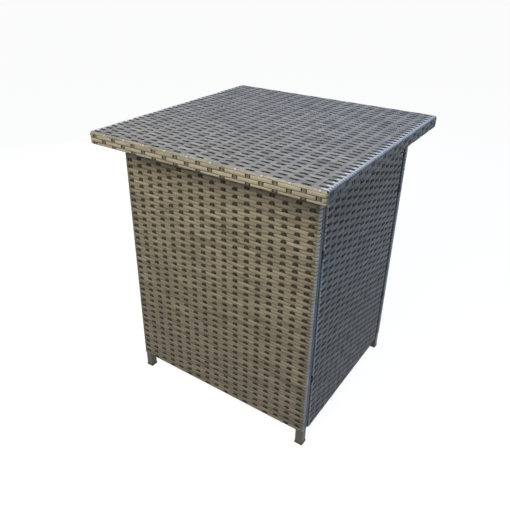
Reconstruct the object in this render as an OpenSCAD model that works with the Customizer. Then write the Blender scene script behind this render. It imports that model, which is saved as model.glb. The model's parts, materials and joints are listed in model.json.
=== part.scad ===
// Woven cushion storage box: a knock-down frame of square tube with walls of flat woven
// strand, a liner bag inside, and an overhanging lid on two butt hinges at the back.
// The origin is on the ground under the middle of the body. +Z is up, the front faces -Y.

/* [Overall] */
// Height from the ground to the top of the lid
total_h = 710; // [600:5:800]
// Width of the lid, left to right
lid_w = 604; // [590:1:700]
// Depth of the lid, front to back
lid_d = 604; // [545:1:700]
// Width of the body over the wrapped legs
body_w = 522; // [460:1:525]
// How far the lid stands out past the body in front, and past its hinges' wall at the back
lid_overhang = 62; // [59:0.5:80]
// Height of the lowest strand of the front and back panels
panel_bottom = 47; // [42:1:60]
// Height of the lowest strand of the side panels
side_bottom = 37; // [32:1:48]
// Gap between the body's top and the lid's lower edge
lid_gap = 4.4; // [3:0.2:8]
// How far the side panels stand back from the wrapped legs
side_inset = 1; // [0:0.5:4]

/* [Tube] */
// Outer width of the square tube in legs, posts and body rails
tube_w = 20; // [18:1:24]
// Wall thickness of all tubes
tube_wall = 1.2; // [1:0.1:2]
// Outer corner radius of the body's tubes and of the lid's crossbars
tube_corner = 2.5; // [2:0.5:3]
// Outer width and height of the lid's frame tube
lid_tube = 25; // [22:1:28]
// Outer corner radius of the lid's frame tube
lid_tube_corner = 2.5; // [2:0.5:3]
// Width of the lid's two crossbars
crossbar_w = 20; // [16:1:22]

/* [Weave] */
// Width of one flat strand
strand_w = 8; // [6:0.5:8.5]
// Thickness of one flat strand
strand_t = 1.4; // [1:0.1:1.6]
// Height of one row of weft, fitted to whole rows
row_pitch = 8.7; // [8:0.1:12]
// Depth of the groove between two rows
groove_depth = 0.8; // [0.4:0.1:0.9]
// Width of the groove between two rows
groove_w = 1.2; // [0.8:0.1:2]
// Number of upright stakes in the front and back panels
front_stakes_n = 17; // [13:2:17]
// Distance from the front panel's edge to its first stake
front_stake_margin = 16.5; // [10:0.5:20]
// Number of upright stakes in each side panel
side_stakes_n = 14; // [10:1:14]
// Distance from the side panel's edge to its first stake
side_stake_margin = 17; // [10:1:30]
// Number of stakes in the lid's top
lid_stakes_n = 20; // [12:1:20]
// Distance from the lid's edge to its first stake
lid_stake_margin = 17; // [14:1:70]
// Corner radius of the lid seen from above
lid_corner = 6; // [6:0.5:12]
// Radius of a side panel's two lower corners
side_corner = 8; // [5:0.5:10]
// Number of grooves between the rows woven round the lid's edge
lid_edge_grooves = 3; // [1:1:3]

/* [Seam between leg and side panel] */
// Clear gap between the wrapped leg and the wrapped post
seam_gap = 6; // [4:0.5:9]
// Height of the upper panel bolts
bolt_high_z = 528; // [420:1:560]
// Height of the lower panel bolts
bolt_low_z = 194; // [120:1:300]
// Diameter of the panel bolts
bolt_d = 6; // [5:0.5:8]
// Clearance round a bolt in a drilled hole
bolt_clearance = 0.3; // [0.2:0.05:0.5]
// Diameter of a spacer
spacer_d = 19; // [14:0.5:20]
// Height of the slot left in the weave at a spacer
slot_h = 22; // [20:1:26]
// How far a slot bites into the weave on either side of the seam
slot_bite = 1.6; // [0.5:0.1:4]
// Diameter of a washer
washer_d = 14; // [12:0.5:16]
// Thickness of a washer
washer_t = 1.2; // [1:0.1:2]
// Width of a bolt head across its corners
bolt_head_d = 11; // [9:0.5:13]
// Height of a bolt head
bolt_head_h = 4; // [3:0.5:6]
// Outer diameter of a rivet nut's barrel
rivnut_d = 8.6; // [8.4:0.1:10]
// Length of a rivet nut's barrel
rivnut_l = 13; // [10:0.5:15]
// Diameter of a rivet nut's flange
rivnut_flange_d = 12; // [11:0.5:14]
// Thickness of a rivet nut's flange
rivnut_flange_t = 0.8; // [0.5:0.1:1.2]
// Radial play of a rivet nut in its hole and of a bolt in its thread
nut_play = 0.05; // [0.02:0.01:0.1]

/* [Hinges] */
// Distance from the middle of the box to the middle of each hinge
hinge_x = 165; // [120:1:180]
// Length of a hinge
hinge_len = 80; // [70:1:100]
// Thickness of a hinge leaf
leaf_t = 2; // [1.5:0.1:2.5]
// Outer radius of a knuckle
knuckle_r = 4; // [3.5:0.1:5]
// Radius of a hinge pin
hinge_pin_r = 2; // [1.5:0.1:2.2]
// Radial running clearance round a hinge pin
pin_clearance = 0.06; // [0.03:0.01:0.09]
// Length of the riveted head at each end of a pin
pin_head_t = 1; // [0.8:0.1:1.5]
// How far a pin's head stands out round the pin
pin_head_lip = 0.8; // [0.5:0.1:1.2]
// Play along the pin between its heads and the knuckles
pin_play = 0.1; // [0.05:0.05:0.3]
// Gap along the pin between two knuckles
knuckle_gap = 0.3; // [0.2:0.1:0.8]
// Length of a hinge's middle knuckle
mid_knuckle = 28; // [20:1:36]
// Distance between neighbouring screws of a leaf
hinge_screw_pitch = 30; // [22:1:32]
// Shank diameter of a hinge screw
screw_d = 4; // [3:0.5:4.5]
// Clearance round a screw in a hole
screw_clearance = 0.15; // [0.1:0.05:0.3]
// Length of a hinge screw
screw_l = 14; // [10:0.5:16]
// How deep a screw's head lies below the face of its leaf
head_drop = 0.1; // [0.05:0.05:0.3]
// Width of leaf on each side of its row of screws
leaf_half = 10; // [8:0.5:11]

/* [Base] */
// Height of the base board's underside
base_z = 70; // [66:1:90]
// Thickness of the base board
board_t = 9; // [6:1:15]
// Clearance between the base board and the tabs round it
board_clearance = 1; // [0.5:0.1:2]
// Diameter of the drain holes
drain_d = 14; // [8:1:30]
// Distance between neighbouring drain holes
drain_pitch = 110; // [60:5:150]
// Width of a base tab
tab_w = 18; // [12:1:20]
// Thickness of a base tab
tab_t = 3; // [2:0.5:4]
// Height of a base tab
tab_h = 17; // [14:1:18]
// How far a base tab reaches under the board
tab_reach = 25; // [18:1:40]
// Distance from the middle of a wall to its two tabs
tab_x = 135; // [100:1:150]
// Length of a base screw
base_screw_l = 11; // [8:0.5:11]

/* [Liner] */
// Radius of the liner's upright corners
liner_corner = 20; // [10:1:40]
// Thickness of the liner's fabric
liner_t = 1.5; // [1:0.1:2]
// Gap between the liner's walls and the weave's inner face
liner_gap = 4.3; // [3.5:0.1:8]
// Thickness of the hem sewn outside the liner's rim
hem_t = 1.5; // [1:0.1:3]
// Height of the hem
hem_h = 22; // [20:1:30]
// Distance from the liner's rim to the top of the body
rim_drop = 2; // [1:0.5:4]
// Lift of the liner's floor off the base board
liner_lift = 0.3; // [0.2:0.1:1]
// Distance from the middle of a wall to its two press studs
stud_x = 150; // [100:1:165]
// Diameter of a press stud's cap
stud_cap_d = 14; // [10:0.5:15]
// Thickness of a press stud's cap
stud_cap_t = 1.5; // [1:0.1:2]
// Diameter of a press stud's post
stud_post_d = 5; // [4:0.5:6]
// Clearance round a press stud's post
stud_clearance = 0.3; // [0.2:0.1:1]

/* [Feet and buffers] */
// Thickness of a foot cap under its leg
foot_h = 4; // [2:0.5:6]
// How far a foot cap stands out round its leg
foot_lip = 1.2; // [0.2:0.1:1.5]
// Length of a foot cap's plug inside the leg
plug_l = 15; // [8:1:25]
// Clearance round a foot cap's plug
plug_clearance = 0.1; // [0.05:0.05:0.3]
// Bevel round the bottom of a foot cap
foot_bevel = 1.5; // [0.5:0.1:1.8]
// Distance from the middle of the box to each lid buffer
buffer_x = 200; // [100:5:210]
// Diameter of a lid buffer
buffer_d = 16; // [10:0.5:18]
// How much narrower a buffer is at its lower end
buffer_taper = 3; // [1:0.5:4]
// Gap left under a closed lid's buffers
buffer_gap = 0.3; // [0.2:0.1:0.5]
// Diameter of a buffer's push-in stem
stem_d = 6; // [4:0.5:8]
// Length of a buffer's push-in stem
stem_l = 5; // [3:0.5:8]

/* [Hidden] */
$fn = 48;

// Overshoot of cutting solids past the faces that they cut
eps = 1;
front = -1;
back = 1;
left = -1;
right = 1;
strand_colour = [0.45, 0.41, 0.35];
stake_colour = [0.40, 0.37, 0.32];
tube_colour = [0.30, 0.28, 0.25];
lid_colour = [0.47, 0.48, 0.49];
black = [0.06, 0.06, 0.07];

// A wall of weave is two strands thick: weft outside, stakes behind it
weave_t = 2 * strand_t;
lid_half_w = lid_w / 2;
lid_half_d = lid_d / 2;
half_w = body_w / 2;
half_d = lid_half_d - lid_overhang;
lid_t = lid_tube + 2 * weave_t;
lid_bottom = total_h - lid_t;
lid_tube_z = lid_bottom + weave_t;
body_top = lid_bottom - lid_gap;
rail_top = body_top - strand_t;

// Depth of a leg or post behind the outer face of its weave, without and with its wrapping
tube_back = weave_t + tube_w;
wrap_back = tube_back + strand_t;
// Radii of the strands that turn round a tube: round a leg's or post's outer corner, and
// over the lid's edges
turn_r = tube_corner + weave_t;
lid_roll = lid_tube_corner + weave_t;
leg_x = half_w - strand_t - tube_w / 2;
leg_y = half_d - weave_t - tube_w / 2;

// Side panels stand between the wrapped legs, one seam gap away at each end
side_half = half_d - wrap_back - seam_gap;
side_face = half_w - side_inset;
post_x = side_face - weave_t - tube_w / 2;
post_y = side_half - strand_t - tube_w / 2;

// Seam planes: the bare tube faces that a spacer stands between
leg_seam_y = half_d - tube_back;
post_seam_y = side_half - strand_t;
post_inner_y = post_seam_y - tube_w;
bolt_x = (leg_x + post_x) / 2;
bolt_heights = [bolt_low_z, bolt_high_z];

// Hinge axis: tangent to the back weave and to the underside of the back crossbar. A leaf
// starts a little way off its knuckle.
hinge_y = half_d + knuckle_r;
hinge_z = lid_tube_z - knuckle_r;
knuckle_clear = 0.4;
body_screw_z = rail_top - tube_w / 2;
lid_screw_y = hinge_y + knuckle_r + knuckle_clear + leaf_half;
screw_r = screw_d / 2;
screw_hole_r = screw_r + screw_clearance;
side_knuckle = (hinge_len - mid_knuckle) / 2 - knuckle_gap;

// Inside faces of the walls, and what fits between them
inner_y = half_d - wrap_back;
inner_x = side_face - wrap_back;
rail_inner_y = leg_seam_y;
rail_inner_x = side_face - tube_back;
board_half_x = rail_inner_x - tab_t - board_clearance;
board_half_y = rail_inner_y - tab_t - board_clearance;
liner_half_x = inner_x - liner_gap;
liner_half_y = inner_y - liner_gap;
liner_floor = base_z + board_t + liner_lift;
liner_top = body_top - rim_drop;
stud_z = rail_top - tube_w / 2;
lid_inner = lid_tube + weave_t;

function grooves(start, length) =
    let (rows = round(length / row_pitch)) [for (i = [1:rows - 1]) start + i * length / rows];
function spread(half, margin, n) = [for (i = [0:n - 1]) -(half - margin) + i * 2 * (half - margin) / (n - 1)];

// 2-D outlines

module rounded_rect(w, h, r) {
    square([w - 2 * r, h], center = true);
    square([w, h - 2 * r], center = true);
    for (x = [-1, 1], y = [-1, 1])
        translate([x * (w / 2 - r), y * (h / 2 - r)]) circle(r);
}

module tube_outline(w, h, r) {
    difference() {
        rounded_rect(w, h, r);
        square([w - 2 * tube_wall, h - 2 * tube_wall], center = true);
    }
}

module body_tube_outline() { tube_outline(tube_w, tube_w, tube_corner); }

// One quarter of a ring, the one towards +x and -y
module ring_quarter(r_out, r_in) {
    intersection() {
        difference() { circle(r_out); circle(r_in); }
        translate([0, -r_out]) square(r_out);
    }
}

// What lies outside a rounded corner towards +x and -y, out to the overshoot
module outside_corner(r) {
    difference() {
        translate([0, -r - eps]) square(r + eps);
        circle(r);
    }
}

// Placing helpers

// Draws its child upright in the plane of a wall: child x runs inwards, child y up, and
// the extrusion along the wall is centred
module along_x(length) {
    rotate([90, 0, 90]) linear_extrude(height = length, center = true) children();
}

// Turns a wall that is drawn as the front one, facing -Y at y = 0, to the wall it belongs to
module on_front() { translate([0, -half_d, 0]) children(); }
module on_back() { mirror([0, 1, 0]) on_front() children(); }
module on_right() { translate([side_face, 0, 0]) rotate([0, 0, 90]) children(); }
module on_left() { mirror([1, 0, 0]) on_right() children(); }
module on_side(sx) { mirror([sx == left ? 1 : 0, 0, 0]) on_right() children(); }

// Every panel bolt: its corner's signs, and its axis pointing from the post to the leg
module at_panel_bolts(y) {
    for (sx = [left, right], sy = [front, back], z = bolt_heights)
        translate([sx * bolt_x, sy * y, z]) rotate([-sy * 90, 0, 0]) children();
}

module at_hinge_screw_x() {
    for (side = [left, right], i = [-1:1])
        translate([side * hinge_x + i * hinge_screw_pitch, 0, 0]) children();
}

// Cuts that several pieces share

module seam_slots() {
    y_in = post_seam_y - slot_bite;
    y_out = leg_seam_y + slot_bite;
    for (sx = [left, right], sy = [front, back], z = bolt_heights)
        translate([sx * bolt_x, sy * (y_in + y_out) / 2, z])
            cube([2 * tube_w, y_out - y_in, slot_h], center = true);
}

module body_screw_holes() {
    at_hinge_screw_x()
        translate([0, half_d + eps, body_screw_z]) rotate([90, 0, 0])
            cylinder(r = screw_hole_r, h = weave_t + tube_w / 2 + eps);
}

// Tubes

module leg(sx, sy) {
    color(tube_colour) difference() {
        translate([sx * leg_x, sy * leg_y, foot_h])
            linear_extrude(height = rail_top - foot_h) body_tube_outline();
        at_panel_bolts(leg_seam_y - eps) cylinder(d = rivnut_d, h = tube_wall + 2 * eps);
    }
}

// A rail between the two legs of the front or back panel
module leg_rail(sy, top) {
    color(tube_colour)
        translate([0, sy * leg_y, top - tube_w / 2])
            along_x(2 * leg_x - tube_w) body_tube_outline();
}

module back_top_rail() {
    color(tube_colour) difference() {
        leg_rail(back, rail_top);
        body_screw_holes();
    }
}

// Rounded lower corners of a side panel, cut through the wall's full depth and centred on
// the same axis as the panel's outer corner of radius side_corner
module side_corner_cuts(r) {
    for (side = [0, 1]) mirror([side, 0, 0])
        translate([side_half - side_corner, 2 * wrap_back, side_bottom + side_corner])
            rotate([90, 0, 0]) linear_extrude(height = 3 * wrap_back) outside_corner(r);
}

module post(sx, sy) {
    bolt_hole_r = bolt_d / 2 + bolt_clearance;
    color(tube_colour) difference() {
        translate([sx * post_x, sy * post_y, side_bottom + strand_t])
            linear_extrude(height = rail_top - side_bottom - strand_t) body_tube_outline();
        at_panel_bolts(post_inner_y - eps) cylinder(r = bolt_hole_r, h = tube_w + 2 * eps);
        on_side(sx) side_corner_cuts(side_corner - strand_t);
    }
}

// A rail between the two posts of a side panel
module post_rail(sx, top) {
    color(tube_colour)
        translate([sx * post_x, 0, top - tube_w / 2])
            rotate([0, 0, 90]) along_x(2 * post_y - tube_w) body_tube_outline();
}

// Weave

// Side view of a wall's weft: grooved outside, and turned in round the top and bottom rails
module weft_profile(bottom) {
    lip = strand_t + tube_w;
    outside = [for (z = grooves(bottom, body_top - bottom), p = [-1, 0, 1])
        [p == 0 ? groove_depth : 0, z + p * groove_w / 2]];
    polygon(concat([[0, bottom]], outside, [
        [0, body_top],
        [wrap_back, body_top],
        [wrap_back, body_top - lip],
        [tube_back, body_top - lip],
        [tube_back, rail_top],
        [strand_t, rail_top],
        [strand_t, bottom + strand_t],
        [tube_back, bottom + strand_t],
        [tube_back, bottom + lip],
        [wrap_back, bottom + lip],
        [wrap_back, bottom],
    ]));
}

// A wall of weft that faces -Y at y = 0. Behind its two ends it leaves room for the wrapped
// legs or posts, and its ends follow their rounded outer corners.
module weft_wall(half, bottom) {
    tube_inner = half - strand_t - tube_w;
    tab_bottom = base_z - tab_h - board_clearance;
    room_h = rail_top - bottom + eps;
    // Where the arc of the turn leaves the outermost strand
    arc_x = turn_r - sqrt(turn_r * turn_r - (turn_r - strand_t) * (turn_r - strand_t));
    difference() {
        along_x(2 * half) weft_profile(bottom);
        for (side = [0, 1]) mirror([side, 0, 0]) {
            translate([tube_inner, strand_t, bottom - eps]) cube([2 * tube_w, wrap_back, room_h]);
            translate([0, 0, bottom - eps]) linear_extrude(height = body_top - bottom + 2 * eps)
                polygon([[half - turn_r, 0], [half - arc_x, strand_t], [half, turn_r],
                         [half + eps, turn_r], [half + eps, -eps], [half - turn_r, -eps]]);
            translate([tab_x, wrap_back, (tab_bottom + base_z) / 2])
                cube([tab_w + 2 * board_clearance, 2 * strand_t, base_z - tab_bottom], center = true);
            translate([stud_x, tube_back, stud_z]) rotate([-90, 0, 0])
                cylinder(r = stud_post_d / 2 + stud_clearance, h = strand_t + eps);
        }
    }
}

// Upright flat strands between the weft and the rails
module stake_wall(half, margin, n, bottom) {
    for (x = spread(half, margin, n))
        translate([x - strand_w / 2, strand_t, bottom + strand_t])
            cube([strand_w, strand_t, rail_top - bottom - strand_t]);
}

// Plan of a sleeve at the right end of a wall: round outside, fitted to the tube inside, and
// open in front where the stakes run down
module sleeve_plan(half) {
    wrap_w = tube_w + 2 * strand_t;
    tube_x = half - strand_t - tube_w / 2;
    difference() {
        intersection() {
            translate([tube_x, (wrap_back + turn_r) / 2])
                rounded_rect(wrap_w, wrap_back + turn_r, turn_r);
            translate([tube_x, 0])
                rounded_rect(wrap_w, 2 * wrap_back, tube_corner + strand_t);
        }
        translate([tube_x, weave_t + tube_w / 2]) rounded_rect(tube_w, tube_w, tube_corner);
        translate([tube_x - wrap_w, -eps]) square([2 * wrap_w, strand_t + eps]);
        translate([half - turn_r - 2 * wrap_w, -eps]) square([2 * wrap_w, weave_t + eps]);
    }
}

// Weft strands wound round the two upright tubes at the ends of a wall. Each sleeve is open
// where the rails come in.
module sleeve_pair(half, bottom, wall_bottom) {
    tube_inner = half - strand_t - tube_w;
    for (side = [0, 1]) mirror([side, 0, 0]) difference() {
        translate([0, 0, bottom]) linear_extrude(height = rail_top - bottom) sleeve_plan(half);
        translate([tube_inner - tube_w, 0, bottom - eps])
            cube([tube_w, 2 * wrap_back, wall_bottom + strand_t + tube_w - bottom + eps]);
        translate([tube_inner - tube_w, 0, rail_top - tube_w])
            cube([tube_w, 2 * wrap_back, tube_w + eps]);
    }
}

// Sleeves of a side panel: each ends below in a heel that turns round the panel's corner
module post_sleeves() {
    difference() {
        sleeve_pair(side_half, side_bottom + strand_t, side_bottom);
        side_corner_cuts(side_corner);
    }
    for (side = [0, 1]) mirror([side, 0, 0])
        translate([side_half - side_corner, wrap_back, side_bottom + side_corner])
            rotate([90, 0, 0]) linear_extrude(height = wrap_back - strand_t)
                ring_quarter(side_corner, side_corner - strand_t);
}

// Bottom turn of a side panel's weft, under the posts as far as their heels
module post_soles() {
    for (side = [0, 1]) mirror([side, 0, 0])
        translate([side_half - strand_t - tube_w, strand_t, side_bottom])
            cube([tube_w + strand_t - side_corner, wrap_back - strand_t, strand_t]);
}

module side_weft() {
    difference() {
        weft_wall(side_half, side_bottom);
        side_corner_cuts(side_corner);
    }
    post_soles();
}

module front_back_stakes() { stake_wall(half_w, front_stake_margin, front_stakes_n, panel_bottom); }
module side_stakes() { stake_wall(side_half, side_stake_margin, side_stakes_n, side_bottom); }

module front_weft() { color(strand_colour) on_front() weft_wall(half_w, panel_bottom); }

module back_weft() {
    color(strand_colour) difference() {
        on_back() weft_wall(half_w, panel_bottom);
        body_screw_holes();
    }
}

module left_weft() { color(strand_colour) difference() { on_left() side_weft(); seam_slots(); } }
module right_weft() { color(strand_colour) difference() { on_right() side_weft(); seam_slots(); } }

module front_stakes() { color(stake_colour) on_front() front_back_stakes(); }
module left_stakes() { color(stake_colour) on_left() side_stakes(); }
module right_stakes() { color(stake_colour) on_right() side_stakes(); }

module back_stakes() {
    color(stake_colour) difference() {
        on_back() front_back_stakes();
        body_screw_holes();
    }
}

module leg_sleeves() { sleeve_pair(half_w, panel_bottom, panel_bottom); }
module front_leg_wraps() { color(strand_colour) difference() { on_front() leg_sleeves(); seam_slots(); } }
module back_leg_wraps() { color(strand_colour) difference() { on_back() leg_sleeves(); seam_slots(); } }

module washer_ports() {
    at_panel_bolts(post_inner_y - strand_t - eps) cylinder(d = washer_d + 2 * eps, h = strand_t + eps);
}

module left_post_wraps() {
    color(strand_colour) difference() { on_left() post_sleeves(); seam_slots(); washer_ports(); }
}

module right_post_wraps() {
    color(strand_colour) difference() { on_right() post_sleeves(); seam_slots(); washer_ports(); }
}

// Joints between the side panels and the legs

module panel_spacers() {
    color(black) at_panel_bolts(post_seam_y) difference() {
        cylinder(d = spacer_d, h = leg_seam_y - post_seam_y - rivnut_flange_t);
        translate([0, 0, -eps])
            cylinder(r = bolt_d / 2 + bolt_clearance, h = leg_seam_y - post_seam_y + 2 * eps);
    }
}

module rivet_nuts() {
    color("gainsboro") at_panel_bolts(leg_seam_y) difference() {
        union() {
            translate([0, 0, -rivnut_flange_t]) cylinder(d = rivnut_flange_d, h = rivnut_flange_t);
            cylinder(r = rivnut_d / 2 - nut_play, h = rivnut_l);
        }
        translate([0, 0, -eps - rivnut_flange_t])
            cylinder(r = bolt_d / 2 + nut_play, h = rivnut_l + rivnut_flange_t + 2 * eps);
    }
}

module panel_washers() {
    color("silver") at_panel_bolts(post_inner_y - washer_t) difference() {
        cylinder(d = washer_d, h = washer_t);
        translate([0, 0, -eps]) cylinder(r = bolt_d / 2 + bolt_clearance, h = washer_t + 2 * eps);
    }
}

// Socket-head bolts that reach from inside the box through post and spacer into the leg
module panel_bolts() {
    reach = leg_seam_y - post_inner_y + washer_t + rivnut_l;
    color("silver") at_panel_bolts(post_inner_y - washer_t) {
        cylinder(d = bolt_d, h = reach);
        translate([0, 0, -bolt_head_h]) difference() {
            cylinder(d = bolt_head_d, h = bolt_head_h);
            translate([0, 0, -eps]) cylinder(d = bolt_head_d / 2, h = bolt_head_h / 2 + eps, $fn = 6);
        }
    }
}

// Feet and base

module foot_caps() {
    plug_w = tube_w - 2 * tube_wall - 2 * plug_clearance;
    cap_w = tube_w + 2 * foot_lip;
    color(black) for (sx = [left, right], sy = [front, back])
        translate([sx * leg_x, sy * leg_y, 0]) {
            difference() {
                linear_extrude(height = foot_h) rounded_rect(cap_w, cap_w, tube_corner + foot_lip);
                for (a = [0:90:270]) rotate([0, 0, a]) translate([cap_w / 2, 0, 0]) rotate([0, 45, 0])
                    cube([foot_bevel * sqrt(2), 2 * cap_w, foot_bevel * sqrt(2)], center = true);
            }
            translate([0, 0, foot_h]) linear_extrude(height = plug_l) difference() {
                square(plug_w, center = true);
                square(plug_w - 2 * tube_wall, center = true);
            }
        }
}

// Base tabs: two on each wall, welded to the inner face of its bottom rail
module at_tabs(inset) {
    for (x = [-tab_x, tab_x], sy = [front, back])
        translate([x, sy * (rail_inner_y - inset), base_z]) rotate([0, 0, sy == front ? 0 : 180]) children();
    for (y = [-tab_x, tab_x], sx = [left, right])
        translate([sx * (rail_inner_x - inset), y, base_z]) rotate([0, 0, sx == left ? -90 : 90]) children();
}

module base_tabs() {
    color(tube_colour) at_tabs(0) difference() {
        translate([-tab_w / 2, 0, 0]) union() {
            translate([0, 0, -tab_h]) cube([tab_w, tab_t, tab_h]);
            translate([0, 0, -tab_t]) cube([tab_w, tab_reach, tab_t]);
        }
        translate([0, (tab_t + tab_reach) / 2, -tab_t - eps]) cylinder(r = screw_hole_r, h = tab_t + 2 * eps);
    }
}

module base_board() {
    pilot = base_screw_l - tab_t;
    color([0.35, 0.33, 0.30]) difference() {
        translate([-board_half_x, -board_half_y, base_z])
            cube([2 * board_half_x, 2 * board_half_y, board_t]);
        for (x = [-drain_pitch, 0, drain_pitch], y = [-drain_pitch, 0, drain_pitch])
            translate([x, y, base_z - eps]) cylinder(d = drain_d, h = board_t + 2 * eps);
        at_tabs((tab_t + tab_reach) / 2) translate([0, 0, -eps]) cylinder(r = screw_hole_r, h = pilot + eps);
    }
}

module base_screws() {
    color("silver") at_tabs((tab_t + tab_reach) / 2) {
        translate([0, 0, -tab_t]) cylinder(r = screw_r, h = base_screw_l);
        translate([0, 0, -tab_t - screw_r]) cylinder(r1 = screw_r, r2 = 2 * screw_r, h = screw_r);
    }
}

// Liner

// Press studs: two on each wall, from the top rail's inner face through the liner's hem
module at_studs(inset_y, inset_x) {
    for (x = [-stud_x, stud_x], sy = [front, back])
        translate([x, sy * inset_y, stud_z]) rotate([sy * 90, 0, 0]) children();
    for (y = [-stud_x, stud_x], sx = [left, right])
        translate([sx * inset_x, y, stud_z]) rotate([0, -sx * 90, 0]) children();
}

// Plan of the liner's outer surface, grown outwards by grow
module liner_plan(grow) {
    rounded_rect(2 * (liner_half_x + grow), 2 * (liner_half_y + grow), liner_corner + grow);
}

module liner() {
    h = liner_top - liner_floor;
    color([0.62, 0.60, 0.56]) difference() {
        union() {
            translate([0, 0, liner_floor]) linear_extrude(height = h) liner_plan(0);
            translate([0, 0, liner_top - hem_h]) linear_extrude(height = hem_h) liner_plan(hem_t);
        }
        translate([0, 0, liner_floor + liner_t]) linear_extrude(height = h) liner_plan(-liner_t);
        at_studs(liner_half_y - liner_t - eps, liner_half_x - liner_t - eps)
            mirror([0, 0, 1]) cylinder(r = stud_post_d / 2 + stud_clearance, h = liner_t + hem_t + 2 * eps);
    }
}

module liner_studs() {
    color("dimgray") at_studs(liner_half_y - liner_t, liner_half_x - liner_t) {
        cylinder(d = stud_cap_d, h = stud_cap_t);
        mirror([0, 0, 1]) cylinder(d = stud_post_d, h = liner_t + liner_gap + strand_t);
    }
}

// Lid frame

// Plan of the lid, drawn in by inset on all sides, with its rounded corners
module lid_plan(inset) {
    rounded_rect(lid_w - 2 * inset, lid_d - 2 * inset, lid_corner - inset);
}

// Mitred rail of the lid: drawn as the front one and turned to its side
module lid_rail_shape(half_length, half_other) {
    outer = half_length - weave_t;
    inner = outer - lid_tube;
    face = half_other - weave_t;
    intersection() {
        translate([0, lid_tube / 2 - face, lid_tube_z + lid_tube / 2])
            along_x(2 * outer) tube_outline(lid_tube, lid_tube, lid_tube_corner);
        translate([0, 0, lid_tube_z - eps]) linear_extrude(height = lid_tube + 2 * eps)
            polygon([[-outer, -face], [outer, -face], [inner, lid_tube - face], [-inner, lid_tube - face]]);
    }
}

// The frame's outer corners are ground round, to follow the weave
module lid_frame_part() {
    color(tube_colour) intersection() {
        children();
        translate([0, 0, lid_tube_z - eps]) linear_extrude(height = lid_tube + 2 * eps) lid_plan(weave_t);
    }
}

module lid_front_rail() { lid_frame_part() lid_rail_shape(lid_half_w, lid_half_d); }
module lid_back_rail() { lid_frame_part() mirror([0, 1, 0]) lid_rail_shape(lid_half_w, lid_half_d); }
module lid_right_rail() { lid_frame_part() rotate([0, 0, 90]) lid_rail_shape(lid_half_d, lid_half_w); }
module lid_left_rail() { lid_frame_part() rotate([0, 0, -90]) lid_rail_shape(lid_half_d, lid_half_w); }

module crossbar(y) {
    translate([0, y, lid_tube_z + lid_tube / 2])
        along_x(2 * (lid_half_w - lid_inner)) tube_outline(crossbar_w, lid_tube, tube_corner);
}

// The front crossbar comes down over the front panel, on the buffers
module lid_front_crossbar() {
    color(tube_colour) difference() {
        crossbar(-leg_y);
        for (side = [left, right]) translate([side * buffer_x, -leg_y, lid_tube_z - eps])
            cylinder(r = stem_d / 2 + screw_clearance, h = tube_wall + 2 * eps);
    }
}

module lid_back_crossbar() {
    color(tube_colour) difference() {
        crossbar(lid_screw_y);
        at_hinge_screw_x() translate([0, lid_screw_y, lid_tube_z - eps])
            cylinder(r = screw_hole_r, h = tube_wall + 2 * eps);
    }
}

module lid_buffers() {
    color(black) for (side = [left, right]) translate([side * buffer_x, -leg_y, body_top + buffer_gap]) {
        cylinder(d1 = buffer_d - buffer_taper, d2 = buffer_d, h = lid_tube_z - body_top - buffer_gap);
        translate([0, 0, lid_tube_z - body_top - buffer_gap]) cylinder(d = stem_d, h = stem_l);
    }
}

// Lid weave

// Top sheet: rows run left to right, inside the roll at the lid's edge
module lid_top_weft() {
    span = lid_d - 2 * lid_roll;
    top = [for (y = grooves(-span / 2, span), p = [-1, 0, 1])
        [y + p * groove_w / 2, total_h - (p == 0 ? groove_depth : 0)]];
    color(lid_colour) intersection() {
        along_x(lid_w - 2 * lid_roll) polygon(concat(
            [[-span / 2, total_h - strand_t], [-span / 2, total_h]], top,
            [[span / 2, total_h], [span / 2, total_h - strand_t]]));
        translate([0, 0, total_h - 2 * strand_t]) linear_extrude(height = 3 * strand_t) lid_plan(lid_roll);
    }
}

// Section of the strands that roll round the lid's edge. x runs outwards, from the axis of
// the lid's rounded corners.
module lid_edge_profile() {
    r = lid_roll;
    difference() {
        union() {
            translate([lid_corner - r, lid_bottom + r]) ring_quarter(r, r - strand_t);
            translate([lid_corner - r, total_h - r]) mirror([0, 1]) ring_quarter(r, r - strand_t);
            translate([lid_corner - strand_t, lid_bottom + r]) square([strand_t, lid_t - 2 * r]);
            if (lid_corner > r) translate([0, lid_bottom]) square([lid_corner - r, strand_t]);
        }
        for (i = [0:lid_edge_grooves - 1])
            translate([lid_corner, total_h - r - i * row_pitch])
                rotate(45) square(groove_depth * sqrt(2), center = true);
    }
}

// The profile along one straight edge, whose corner axes lie half_length from its middle
// and half_other from the middle of the lid
module lid_edge_straight(half_length, half_other) {
    translate([0, -half_other, 0]) mirror([0, 1, 0])
        along_x(2 * half_length) lid_edge_profile();
}

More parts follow.
